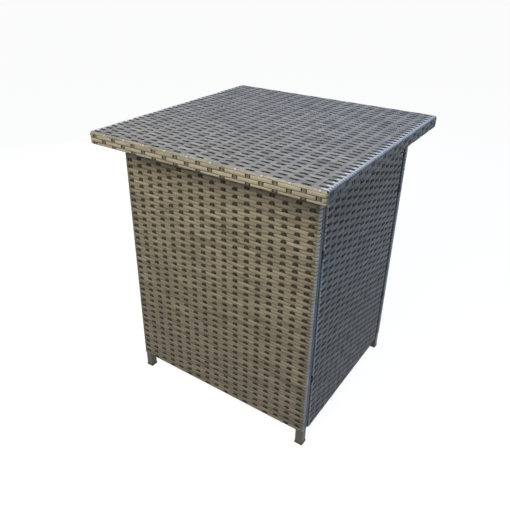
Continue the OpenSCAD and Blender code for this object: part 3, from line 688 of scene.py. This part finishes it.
@dataclass(frozen=True)
class WovenWall(Weave):
    """One wall of the body: rows of weft over stakes, turned round the tubes at both ends.

    In the wall's own frame x runs along it, y inwards from its outer face and z up. Rows get a
    painted highlight on a tube's side as far as it reaches, painted shade before and behind it, and
    painted shade that grows towards the bottom below a set height.
    """

    side: Side
    face: float
    half: float
    bottom: float
    rows: int
    stakes: StakeRow
    foot_round: float = 0.0
    swing: Swing = Swing()
    slot_heights: tuple[float, float] = (194 * MM, 528 * MM)
    slot_half: float = 10 * MM
    slot_edge: float = 20.6 * MM
    slot_bite: float = 1.6 * MM
    tail_end: float = 4.5 * MM
    highlight_reach: float = 9 * MM
    highlight_fade: float = 3 * MM
    shade_end: float = 0.3
    shade_back: float = 0.27
    shade_height: float = 400 * MM
    low_shade: float = 0.06
    row_shift: float = 0.3 * MM
    rim_rows: int = 3
    rim_end: float = 1.5 * MM
    inner_rows: int = 2
    inner_pitch: float = 9 * MM
    inner_gap: float = 1.2 * MM

    @property
    def name(self) -> str:
        """The wall's name, as its nodes have it."""
        return self.side.name.lower()

    @property
    def pitch(self) -> float:
        """Height of one row."""
        return (BODY_TOP - self.bottom) / self.rows

    @property
    def sideways(self) -> bool:
        """Whether this is the left or the right wall."""
        return self.side in (Side.LEFT, Side.RIGHT)

    @property
    def wrap_back(self) -> float:
        """Depth of the wrapped tube's inner side."""
        return WEAVE + TUBE + STRAND_LAYER

    def place(self) -> Matrix:
        """Matrix from the wall's own frame to the box's."""
        turn = Matrix.Rotation(math.radians(self.side.value), 4, "Z")
        return turn @ Matrix.Translation((0, -self.face, 0))

    def row_line(self, ends: RowEnd, half: float) -> BentLine:
        """Plan of a row, from the inner side of one tube round the wall to that of the other.

        Args:
            ends: How the row ends.
            half: Half of the wall's width at the row's height.

        Returns:
            The line of the strand's middle.
        """
        skin = self.swing.outer
        out_x = half - skin
        in_x = self.half - 2 * STRAND_LAYER - TUBE + skin
        back_y = self.wrap_back - skin
        around = TUBE_ROUND + skin
        turn = TUBE_ROUND + WEAVE - skin
        if ends is RowEnd.SLOT and self.sideways:
            # Here the slot takes the whole corner, which bares the spacer's rim
            edge = self.half - WEAVE - self.slot_bite
            return BentLine([(-edge, skin), (edge, skin)], [])
        tail = {
            RowEnd.ROUND: [(in_x, self.tail_end), (in_x, back_y), (out_x, back_y)],
            RowEnd.RAIL: [(in_x, back_y), (out_x, back_y)],
            RowEnd.SLOT: [(out_x, self.slot_edge)],
        }[ends]
        right = [(out_x, skin), *reversed(tail)]
        radii = [turn, *[around] * (len(tail) - 1)]
        left = [(-x, y) for x, y in reversed(right)]
        return BentLine([*left, *right], [*reversed(radii), *radii])

    def row_ends(self, z: float) -> RowEnd:
        """Say how a row ends, which its height decides.

        Args:
            z: Height of the row's middle.

        Returns:
            The kind of end.
        """
        if any(abs(z - slot) < self.slot_half for slot in self.slot_heights):
            return RowEnd.SLOT
        rail = STRAND_LAYER + TUBE
        return RowEnd.RAIL if z < self.bottom + rail or z > BODY_TOP - rail else RowEnd.ROUND

    def half_at(self, z: float) -> float:
        """Give half of the wall's width, which is less where its lower corners are round.

        Args:
            z: Height at which it is taken.

        Returns:
            The half width.
        """
        rise = self.foot_round - (z - self.bottom)
        if rise <= 0:
            return self.half
        return self.half - self.foot_round + math.sqrt(self.foot_round**2 - rise**2)

    def weft_row(self, row: int) -> list[Station]:
        """Stations of one row of weft.

        Args:
            row: Number of the row, 0 at the bottom.

        Returns:
            The stations, from the left end to the right one.
        """
        z = self.bottom + (row + 0.5) * self.pitch
        corner = self.half - TUBE_ROUND - WEAVE - HAIR
        shift = wander(row + 40 * self.face, 0, 1, self.row_shift)
        # Painted shade, darker towards the bottom up to a set height
        base_shade = UNSHADED + self.low_shade * max(0.0, 1 - z / self.shade_height)
        line = self.row_line(self.row_ends(z), self.half_at(z))
        marks = [*self.stakes.marks(row, self.swing), self.highlight_reach, self.highlight_reach + self.highlight_fade]
        stations = []
        for stop in line.stops(marks):
            tx, ty = stop.heading
            inward = Vector((-ty, tx, 0))
            dip = push = wear_and_highlight = 0.0
            width = 1.0
            on_face = stop.y < 2 * MM and not stop.turning
            if on_face:
                dip = self.swing.dip(self.stakes.gap(stop.x, row))
                push = self.swing.push(dip)
                width = self.swing.width(self.stakes.gap(stop.x, row + 1))
            dip = max(dip, base_shade)
            # 1 on the left and right sides of the box and 0 on its front and back
            aside = (inward.y if self.sideways else inward.x) ** 2
            # Painted shade on the front of the strip beside a corner
            if self.stakes.beyond(stop.x) and stop.y < TUBE_ROUND + WEAVE:
                dip = max(dip, self.shade_end * (1 - aside))
            # Past the corner: painted highlight where it faces the left or right of the box as far
            # as it reaches, painted shade behind it
            if abs(stop.x) > corner:
                if stop.y < self.highlight_reach + HAIR:
                    wear_and_highlight = aside**2
                else:
                    dip = self.shade_back
            lift = shift + wander(row, stop.distance, *ROW_ERROR)
            tilt = wander(row + 9.5, stop.distance, *TILT_ERROR)
            middle = Vector((stop.x, stop.y, z + lift)) + inward * push
            stations.append(Station(middle, (UP + inward * tilt).normalized(),
                                    (UP * tilt - inward).normalized(),
                                    stop.distance, dip, width, wear_and_highlight=wear_and_highlight))
        return stations

    def rim_row(self, depth: float, z: float, out: Vector, half: float,
                seed: int) -> list[Station]:
        """Stations of a straight row on a rail's top, bottom or inner side.

        Args:
            depth: How far inwards the row lies.
            z: Its height.
            out: The way out of its face.
            half: Half its length.
            seed: A number of its own for the error of hand work.

        Returns:
            The stations.
        """
        along = Vector((1, 0, 0))
        stations = []
        steps = 16
        for i in range(steps + 1):
            x = -half + 2 * half * i / steps
            middle = Vector((x, depth, z)) + out.cross(along) * wander(seed, x, *RIM_ERROR)
            stations.append(Station(middle, along.cross(out), out, x + half))
        return stations

    def rims(self) -> Iterator[list[Station]]:
        """Give the rows that lie on the rails and turn in behind them.

        Yields:
            The stations of each row.
        """
        skin = self.swing.outer
        inner = self.wrap_back - skin
        between = self.half - self.wrap_back + STRAND_LAYER
        sole = self.half - max(self.rim_end, self.foot_round)
        for level, out, half in ((BODY_TOP - skin, UP, self.half - self.rim_end),
                                 (self.bottom + skin, -UP, sole)):
            for i in range(self.rim_rows):
                depth = skin + inner / self.rim_rows * (i + 0.5)
                yield self.rim_row(depth, level, out, half, 90 + i)
        for start, way in ((BODY_TOP, -1), (self.bottom, 1)):
            for i in range(self.inner_rows):
                z = start + way * (self.inner_gap + (i + 0.5) * self.inner_pitch)
                yield self.rim_row(inner, z, Vector((0, 1, 0)), between, 95 + i)

    def upright_stake(self, number: int, x: float) -> list[Station]:
        """Stations of one upright stake.

        Args:
            number: Number of the stake, 0 at the left.
            x: Its place along the wall.

        Returns:
            The stations, one for each row.
        """
        stations = []
        for row in range(self.rows):
            z = self.bottom + (row + 0.5) * self.pitch
            if row in (0, self.rows - 1):
                z += math.copysign(0.5 * self.pitch - STRAND_LAYER, row - 1)
            depth = self.stake_depth + self.stake_swing * (-1) ** (row + number)
            middle = Vector((x + wander(number + 21, z, *STAKE_ERROR), depth, z))
            stations.append(Station(middle, Vector((-1, 0, 0)), Vector((0, -1, 0)), z))
        return stations

    def build(self, wrapped: str) -> None:
        """Model the wall's weft and stakes and hang them on the box.

        Args:
            wrapped: The node of the strands wound round this wall's tubes.
        """
        rows = [*map(self.weft_row, range(self.rows)), *self.rims()]
        piece = StrandBundle(self.weft, rows).finish(f"{self.name}_woven_rows", "weft",
                                                     self.place())
        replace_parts(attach(piece, "box"), f"{self.name}_weft", wrapped)
        stakes = [self.upright_stake(number, x) for number, x in enumerate(self.stakes.places)]
        piece = StrandBundle(self.stake, stakes).finish(
            f"{self.name}_woven_stakes", "side_stake" if self.sideways else "stake", self.place())
        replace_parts(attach(piece, "box"), f"{self.name}_stakes")


@dataclass(frozen=True)
class WovenLid(Weave):
    """The lid's weave: rows across the top that roll over its left and right edges, rows woven
    round all four edges and in under the frame, and stakes bent over the front and back.

    Some fields say how much painted highlight and how much painted shade the strands of a place
    get.
    """

    half: float = 302 * MM
    top_rows: int = 67
    stakes: StakeRow = StakeRow(20, 285 * MM)
    edge_pitch: float = 8.7 * MM
    edge_rows: int = 7
    swing: Swing = WIDE_SWING
    edge_swing: Swing = Swing(slope=4 * MM)
    roll_lean: float = math.radians(45)
    tuck: float = 5 * MM
    tuck_bend: float = 3.5 * MM
    lap: float = 6 * MM
    climb: float = 16 * MM
    rolled_width: float = 0.88
    folded_width: float = 0.62
    edge_roll_width: float = 0.9
    highlight_end: float = 0.7
    shade_end: float = 0.32
    highlight_front: float = 0.18
    shade_side: float = 0.23
    highlight_stake: float = 0.2
    highlight_stake_turn: float = 0.6
    highlight_short_stake: float = 0.15

    @property
    def row_pitch(self) -> float:
        """Distance between two rows of the top."""
        return 2 * (self.half - LID_ROLL) / self.top_rows

    def top_row(self, row: int) -> list[Station]:
        """Stations of one row of the top, from its tucked end at the left to that at the right.

        Args:
            row: Number of the row, 0 in the middle. The two outermost lie on the roll.

        Returns:
            The stations.
        """
        roll = LID_ROLL - self.swing.outer
        rolled = abs(row) > self.top_rows // 2
        lean = math.copysign(self.roll_lean, row) if rolled else 0.0
        y = row * self.row_pitch
        if rolled:
            y = math.copysign(self.half - LID_ROLL + roll * math.sin(abs(lean)), row)
        past = max(0.0, abs(y) - (self.half - LID_CORNER))
        half = self.half - LID_CORNER + math.sqrt(LID_CORNER**2 - past**2)
        edge = half - self.swing.outer
        top = TOTAL_HEIGHT - self.swing.outer - roll * (1 - math.cos(lean))
        tuck = TOTAL_HEIGHT - LID_ROLL - self.tuck
        right = [(edge, top), (edge, tuck + self.tuck_bend), (edge - TIGHT_TURN, tuck)]
        line = BentLine([*((-x, z) for x, z in reversed(right)), *right],
                        [TIGHT_TURN, roll, roll, TIGHT_TURN])
        across = Vector((0, math.cos(lean), -math.sin(lean)))
        stations = []
        for stop in line.stops(self.stakes.marks(row, self.swing)):
            tx, tz = stop.heading
            out = Vector((-tz, 0, tx))
            flat = abs(tx) > 0.9
            dip = push = wear_and_highlight = drift = curl = 0.0
            width = 1.0
            if abs(tx) > 0.99 and not stop.turning:
                dip = self.swing.dip(self.stakes.gap(stop.x, row))
                push = self.swing.push(dip)
            if rolled:
                dip = 0.0
                curl = 1 / roll
                width = self.rolled_width if flat else self.folded_width
                out = Vector((0, math.sin(lean), math.cos(lean))) if flat else out
            else:
                drift = wander(row + 140, stop.distance, *ROW_ERROR)
                width = self.swing.width(self.stakes.gap(stop.x, row + 1)) if flat else 1.0
                # Past the stakes: painted highlight on the top of the roll and painted shade on its
                # sides
                if self.stakes.beyond(stop.x):
                    wear_and_highlight = self.highlight_end * out.z**3
                    dip = max(dip, self.shade_end * (1 - out.z))
            middle = Vector((stop.x, y, stop.y)) - out * push + across * drift
            stations.append(Station(middle, across, out, stop.distance, dip, width, curl, wear_and_highlight))
        return stations

    def edge_row(self, row: int) -> list[Station]:
        """Stations of one row round the lid: on its edge, in the roll, underneath or inside.

        Args:
            row: Number of the row, 0 just under the top's roll.

        Returns:
            The stations, which start and end at the middle of the back.
        """
        skin = self.swing.outer
        roll = LID_ROLL - skin
        inside = WEAVE + LID_TUBE + STRAND_LAYER - skin
        section = BentLine([(skin, TOTAL_HEIGHT - LID_ROLL), (skin, LID_BOTTOM + skin),
                            (inside, LID_BOTTOM + skin), (inside, LID_BOTTOM + self.climb)],
                           [roll, TIGHT_TURN])
        # Of stops half a millimetre apart, the one at the row's middle is taken
        steps = section.stops([i * 0.5 * MM for i in range(-1500, 1500)], 16)
        mark = nearest(steps, (row + 0.5) * self.edge_pitch)
        inset, z = mark.x, mark.y
        lean_in, lean_up = mark.heading
        width, curl = (self.edge_roll_width, 1 / roll) if mark.turning else (1.0, 0.0)
        half = self.half - inset
        line = BentLine([(0, half), (-half, half), (-half, -half), (half, -half), (half, half),
                         (-self.lap, half)], [max(LID_CORNER - inset, TIGHT_TURN)] * 4)
        woven = inset < LID_ROLL
        stations = []
        for stop in line.stops(self.stakes.marks(row + 1, self.edge_swing), 6):
            tx, ty = stop.heading
            outward = Vector((ty, -tx, 0))
            across = -outward * lean_in + UP * lean_up
            out = outward * -lean_up - UP * lean_in
            dip = push = wear_and_highlight = drift = 0.0
            if woven and not stop.turning:
                along = stop.x * tx + stop.y * ty
                dip = self.edge_swing.dip(self.stakes.gap(along, row + 1))
                push = self.edge_swing.push(dip)
            if not mark.turning:
                drift = wander(row + 240, stop.distance, *EDGE_ERROR)
            middle = Vector((stop.x, stop.y, z)) - out * push + across * drift
            # Painted highlight on the front and back edges and painted shade on the left and right
            # ones
            if woven:
                wear_and_highlight = self.highlight_front * outward.y**2 * (1 - dip)
                dip = max(dip, self.shade_side * outward.x**2)
            stations.append(Station(middle, across, out, stop.distance, dip, width, curl, wear_and_highlight))
        return stations

    def long_stake(self, number: int, x: float) -> list[Station]:
        """Stations of a stake of the top, bent over the front and back and in under the rails.

        Args:
            number: Number of the stake, 0 at the left.
            x: Its place across the lid.

        Returns:
            The stations, from its front end to its back one.
        """
        depth = self.stake_depth
        low, high = LID_BOTTOM + depth, TOTAL_HEIGHT - depth
        edge = self.half - depth
        inner = self.half - LID_TUBE - MM
        line = BentLine([(-inner, low), (-edge, low), (-edge, high),
                         (edge, high), (edge, low), (inner, low)], [LID_ROLL - depth] * 4)
        stations = []
        rows = [row * self.row_pitch for row in range(-self.top_rows, self.top_rows)]
        for stop in line.stops(rows):
            ty, tz = stop.heading
            out = Vector((0, -tz, ty))
            count = (stop.distance - line.length / 2) / self.row_pitch
            push = self.stake_swing * math.cos(math.pi * (count + number))
            drift = wander(number + 61, stop.distance, *STAKE_ERROR)
            middle = Vector((x + drift, stop.x, stop.y)) - out * push
            # Painted highlight on the stakes across the top, strongest where they turn over the
            # front and back
            wear_and_highlight = self.highlight_stake if abs(tz) > 0.9 else 0.0
            if stop.turning and stop.y > TOTAL_HEIGHT - LID_ROLL:
                wear_and_highlight = self.highlight_stake_turn
            stations.append(Station(middle, Vector((-1, 0, 0)), out, stop.distance, wear_and_highlight=wear_and_highlight))
        return stations

    def short_stake(self, number: int, y: float, side: int) -> list[Station]:
        """Stations of a short stake in the left or right edge.

        Args:
            number: Number of the stake.
            y: Its place along the edge.
            side: -1 for the left edge and 1 for the right one.

        Returns:
            The stations, from the roll down.
        """
        start = TOTAL_HEIGHT - LID_ROLL
        stations = []
        for row in range(-1, 3):
            z = min(start - (row + 0.5) * self.edge_pitch, start + 1.5 * MM)
            push = self.stake_swing * (-1) ** (row + 1 + number) if row > -1 else 0.0
            place = Vector((side * (self.half - self.stake_depth - push), y, z))
            # Painted highlight lightens the short stakes
            stations.append(Station(place, Vector((0, -side, 0)), Vector((side, 0, 0)),
                                    TOTAL_HEIGHT - z, wear_and_highlight=self.highlight_short_stake))
        return stations

    def build(self) -> None:
        """Model the lid's rows and stakes and hang them on the lid."""
        reach = self.top_rows // 2 + 1
        rows = [self.top_row(row) for row in range(-reach, reach + 1)]
        piece = StrandBundle(self.weft, rows).finish("lid_woven_rows", "weft")
        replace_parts(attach(piece, "lid"), "lid_top_weft")
        rows = [self.edge_row(row) for row in range(self.edge_rows)]
        piece = StrandBundle(self.weft, rows).finish("lid_woven_edge", "weft")
        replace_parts(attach(piece, "lid"), "lid_edge_weft")
        stakes = []
        for number, place in enumerate(self.stakes.places):
            stakes.append(self.long_stake(number, place))
            stakes += [self.short_stake(number, place * side, side) for side in (-1, 1)]
        piece = StrandBundle(self.stake, stakes).finish("lid_woven_stakes", "lid_stake")
        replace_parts(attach(piece, "lid"), "lid_stakes")


@dataclass(frozen=True)
class LinerBag:
    """The liner: a bag of coated cloth that hangs from studs on its hem and sags between them.

    Fold and ripple are the width and the height of its creases and a seed of their own.
    """

    half_x: float = 231.5 * MM
    half_y: float = 211.5 * MM
    corner: float = 20 * MM
    floor: float = 79.3 * MM
    top: float = 673 * MM
    cloth: float = 1.5 * MM
    drawn_cloth: float = 0.8 * MM
    sag: float = 3.0 * MM
    fold: tuple[float, float, float] = (90 * MM, 350 * MM, 0.0)
    ripple: tuple[float, float, float] = (35 * MM, 200 * MM, 7.0)
    around: int = 160
    levels: int = 20
    floor_steps: tuple[float, ...] = (0.97, 0.9, 0.9, 0.85, 0.8, 0.7, 0.5)

    def outline(self, grow: float) -> BentLine:
        """Plan of the bag, drawn out by grow, as a line that starts and ends at the back."""
        x, y = self.half_x + grow, self.half_y + grow
        return BentLine([(0, y), (-x, y), (-x, -y), (x, -y), (x, y), (0, y)],
                        [self.corner + grow] * 4)

    def lay_ring(self, verts: Sequence[bmesh.types.BMVert], grow: float, z: float) -> None:
        """Place a ring of vertices on the bag's outline.

        Args:
            verts: The vertices in order.
            grow: How far outside the outline they lie.
            z: Their height.
        """
        line = self.outline(grow)
        stops = list(line.stops([i * 2 * MM for i in range(-120, 121)], 8))
        for i, vert in enumerate(verts):
            stop = nearest(stops, line.length * i / len(verts))
            vert.co = (stop.x, stop.y, z)

    def build(self) -> None:
        """Model the bag and hang it in the box."""
        mesh = bmesh.new()
        ring = bmesh.ops.create_circle(mesh, cap_ends=True, segments=self.around, radius=1)["verts"]
        self.lay_ring(ring, -self.cloth, self.floor + self.cloth)
        floor = ring[0].link_faces[0]
        rim = list(floor.edges)
        for step in range(1, self.levels + 1):
            height = self.floor + (self.top - self.floor) * step / self.levels
            made = bmesh.ops.extrude_edge_only(mesh, edges=rim)["geom"]
            lifted = [g for g in made if isinstance(g, bmesh.types.BMVert)]
            for vert in lifted:
                vert.co.z = height
            rim = [g for g in made if isinstance(g, bmesh.types.BMEdge)
                   and all(abs(v.co.z - height) < 1e-6 for v in g.verts)]
        for share in self.floor_steps:
            inner = bmesh.ops.extrude_face_region(mesh, geom=[floor])["geom"]
            bmesh.ops.delete(mesh, geom=[floor], context="FACES_ONLY")
            floor = next(g for g in inner if isinstance(g, bmesh.types.BMFace))
            bmesh.ops.scale(mesh, verts=floor.verts, vec=(share, share, 1))
        for vert in mesh.verts:
            self.relax(vert)
        bmesh.ops.recalc_face_normals(mesh, faces=mesh.faces)
        for face in mesh.faces:
            face.smooth = True
        bag = make_object("liner_bag", mesh)
        wall = bag.modifiers.new("cloth", "SOLIDIFY")
        wall.thickness = self.drawn_cloth
        wall.offset = 0
        dress(bag, MATERIALS["liner"])
        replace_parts(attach(bag, "box"), "liner")
        height = self.top - self.floor

    def relax(self, vert: bmesh.types.BMVert) -> None:
        """Let one point of the bag sag and crease, least at the rim and the floor.

        Args:
            vert: The point, which is moved.
        """
        x, y, z = vert.co
        share = (z - self.floor) / (self.top - self.floor)
        hang = math.sin(math.pi * min(1.0, max(0.0, share)))
        folds, ripple = (noise.noise(Vector((x / width, y / width, z / height + seed)))
                         for width, height, seed in (self.fold, self.ripple))
        move = self.sag * hang * (0.8 * folds + 0.35 * ripple - 0.5)
        along_x, along_y = x / self.half_x, y / self.half_y
        if share < 0.01:
            # The floor lies in low creases, but for its rim
            if max(abs(along_x), abs(along_y)) < 0.95:
                vert.co.z += 0.6 * MM * (1 + ripple)
        elif abs(along_x) > abs(along_y):
            vert.co.x += math.copysign(1, x) * move
        else:
            vert.co.y += math.copysign(1, y) * move


@dataclass(frozen=True)
class SpacerCaps:
    """The black caps that close the slots of the seams over the spacers' rims."""

    place: tuple[float, float] = (259.5 * MM, 212.4 * MM)
    size: tuple[float, float, float] = (2.4 * MM, 12.4 * MM, 19 * MM)
    edge: float = 1 * MM

    def build(self) -> None:
        """Model a cap for each of the eight spacers and hang them on the box."""
        mesh = bmesh.new()
        x, y = self.place
        size = Matrix.Diagonal((*self.size, 1))
        for x_side, y_side, z in itertools.product((-1, 1), (-1, 1), WovenWall.slot_heights):
            place = Matrix.Translation((x_side * x, y_side * y, z))
            verts = bmesh.ops.create_cube(mesh, size=1, matrix=place @ size)["verts"]
            edges = dict.fromkeys(edge for vert in verts for edge in vert.link_edges)
            bmesh.ops.bevel(mesh, geom=list(edges), offset=self.edge, segments=3, profile=0.5,
                            affect="EDGES", material=-1)
        piece = make_object("spacer_caps", mesh)
        dress(piece, MATERIALS["plastic"])
        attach(piece, "box")


class Hardware:
    """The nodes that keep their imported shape: tubes, feet, board, fixings and hinges."""

    SLOTS = {
        "frame_tube": "tube",
        "black_plastic": "plastic",
        "zinc_steel": "zinc",
        "board": "board",
        "rubber": "rubber",
    }

    def build(self) -> None:
        """Give each kept node the material of its slot."""
        for part in frame["record"]["subparts"]:
            kind = self.SLOTS.get(part["material_slot"])
            if kind is None:
                continue
            if part["node"] == "foot_caps":
                kind = "foot"
            dress(frame["nodes"][part["node"]], MATERIALS[kind])
            log.info("%s: %s", part["node"], kind)


@dataclass(frozen=True)
class SoftLamp:
    """A square soft lamp: where it hangs and aims, its side, its watts and its sRGB colour."""

    name: str
    place: tuple[float, float, float]
    size: float
    power: float
    colour: str
    aim: tuple[float, float, float] = (0.0, 0.0, 0.35)

    def hang(self) -> None:
        """Add the lamp to the scene."""
        data = bpy.data.lights.new(self.name, "AREA")
        data.size = self.size
        data.energy = self.power
        data.color = linear(self.colour)[:3]
        lamp = bpy.data.objects.new(self.name, data)
        lamp.location = self.place
        facing = Vector(self.aim) - Vector(self.place)
        lamp.rotation_euler = facing.to_track_quat("-Z", "Y").to_euler()
        bpy.context.scene.collection.objects.link(lamp)


@dataclass(frozen=True)
class Studio:
    """Camera, lamps, world and floor. The floor is matt to the lamps and pale to the eye."""

    eye: tuple[float, float, float] = (0.6621, -1.0728, 1.0661)
    azimuth: float = 34.58
    pitch: float = 28.54
    roll: float = 0.4376
    image: int = 510
    focal: float = 532.74
    centre: tuple[float, float] = (244.97, 243.01)
    sky: str = "#d5e7ff"
    sky_strength: float = 0.11
    floor_matt: str = "#6a6863"
    floor_pale: str = "#eceae6"
    lamps: tuple[SoftLamp, ...] = (
        SoftLamp("key_lamp", (0.0, -1.5, 1.62), 0.9, 30, "#ffedc5"),
        SoftLamp("top_lamp", (0.38, 0.1, 2.6), 1.6, 30, "#8cbcff"),
        SoftLamp("side_lamp", (2.2, -0.1, 1.3), 1.2, 8, "#b4dcff"),
        SoftLamp("back_lamp", (-1.7, 1.5, 0.35), 0.7, 17, "#fff6e8"),
    )

    def camera(self) -> None:
        """Stand the camera where the photograph was taken from."""
        az, down, roll = (math.radians(a) for a in (self.azimuth, self.pitch, self.roll))
        ahead = Vector((-math.sin(az) * math.cos(down), math.cos(az) * math.cos(down),
                        -math.sin(down)))
        level = Vector((math.cos(az), math.sin(az), 0))
        rise = level.cross(ahead)
        right = math.cos(roll) * level + math.sin(roll) * rise
        up = -math.sin(roll) * level + math.cos(roll) * rise
        data = bpy.data.cameras.new("photo_camera")
        data.sensor_width = 36
        data.lens = self.focal / self.image * 36
        data.shift_x = (self.image / 2 - self.centre[0]) / self.image
        data.shift_y = (self.centre[1] - self.image / 2) / self.image
        camera = bpy.data.objects.new("photo_camera", data)
        turn = Matrix((right, up, -ahead)).transposed().to_4x4()
        camera.matrix_world = Matrix.Translation(self.eye) @ turn
        bpy.context.scene.collection.objects.link(camera)
        bpy.context.scene.camera = camera

    def seen(self, add: Callable[..., bpy.types.Node]) -> bpy.types.Node:
        """Add a node that is one for rays that show the background to the eye.

        Args:
            add: The add_node of the tree that it joins.

        Returns:
            The node.
        """
        ray = add("LightPath").outputs
        shown = add("Math", {0: ray["Is Camera Ray"], 1: ray["Is Transmission Ray"]},
                    operation="MAXIMUM")
        return add("Math", {0: shown, 1: ray["Is Glossy Ray"]}, operation="MAXIMUM")

    def world(self) -> None:
        """Light the box from all round, with plain white behind it."""
        world = bpy.data.worlds.new("pale_sky")
        bpy.context.scene.world = world
        world.use_nodes = True
        world.node_tree.nodes.clear()
        add = partial(add_node, world.node_tree)
        sky = add("Background", {"Color": linear(self.sky), "Strength": self.sky_strength})
        white = add("Background", {"Color": (1, 1, 1, 1), "Strength": 1.0})
        both = add("MixShader", {0: self.seen(add), 1: sky, 2: white})
        add("OutputWorld", {"Surface": both})

    def floor(self) -> None:
        """Lay the pale floor."""
        mesh = bmesh.new()
        bmesh.ops.create_grid(mesh, x_segments=1, y_segments=1, size=40)
        floor = make_object("studio_floor", mesh)
        material, add = new_material("studio_floor_paint")
        matt = add("BsdfDiffuse", {"Color": linear(self.floor_matt)})
        paper = add("BsdfDiffuse", {"Color": linear(self.floor_pale)})
        white = add("Emission", {"Color": (1, 1, 1, 1), "Strength": 1.12})
        pale = add("MixShader", {0: 0.85, 1: paper, 2: white})
        shader = add("MixShader", {0: self.seen(add), 1: matt, 2: pale})
        add("OutputMaterial", {"Surface": shader})
        dress(floor, material)

    def build(self) -> None:
        """Set up the whole studio."""
        bpy.context.scene.view_settings.view_transform = "Standard"
        self.camera()
        self.world()
        self.floor()
        for lamp in self.lamps:
            lamp.hang()


def main() -> None:
    """Build the whole scene."""
    logging.basicConfig(level=logging.INFO, format="%(message)s")
    Studio().build()
    for side in (Side.FRONT, Side.BACK):
        wall = WovenWall(side, face=240 * MM, half=261 * MM, bottom=47 * MM, rows=72,
                         stakes=StakeRow(17, 244.5 * MM))
        wall.build(f"{wall.name}_leg_wraps")
    for side in (Side.LEFT, Side.RIGHT):
        wall = WovenWall(side, face=260 * MM, half=209.8 * MM, bottom=37 * MM, rows=73,
                         stakes=StakeRow(14, 192.8 * MM), foot_round=8 * MM, swing=WIDE_SWING)
        wall.build(f"{wall.name}_post_wraps")
    WovenLid().build()
    LinerBag().build()
    SpacerCaps().build()
    Hardware().build()


if __name__ == "__main__":
    main()
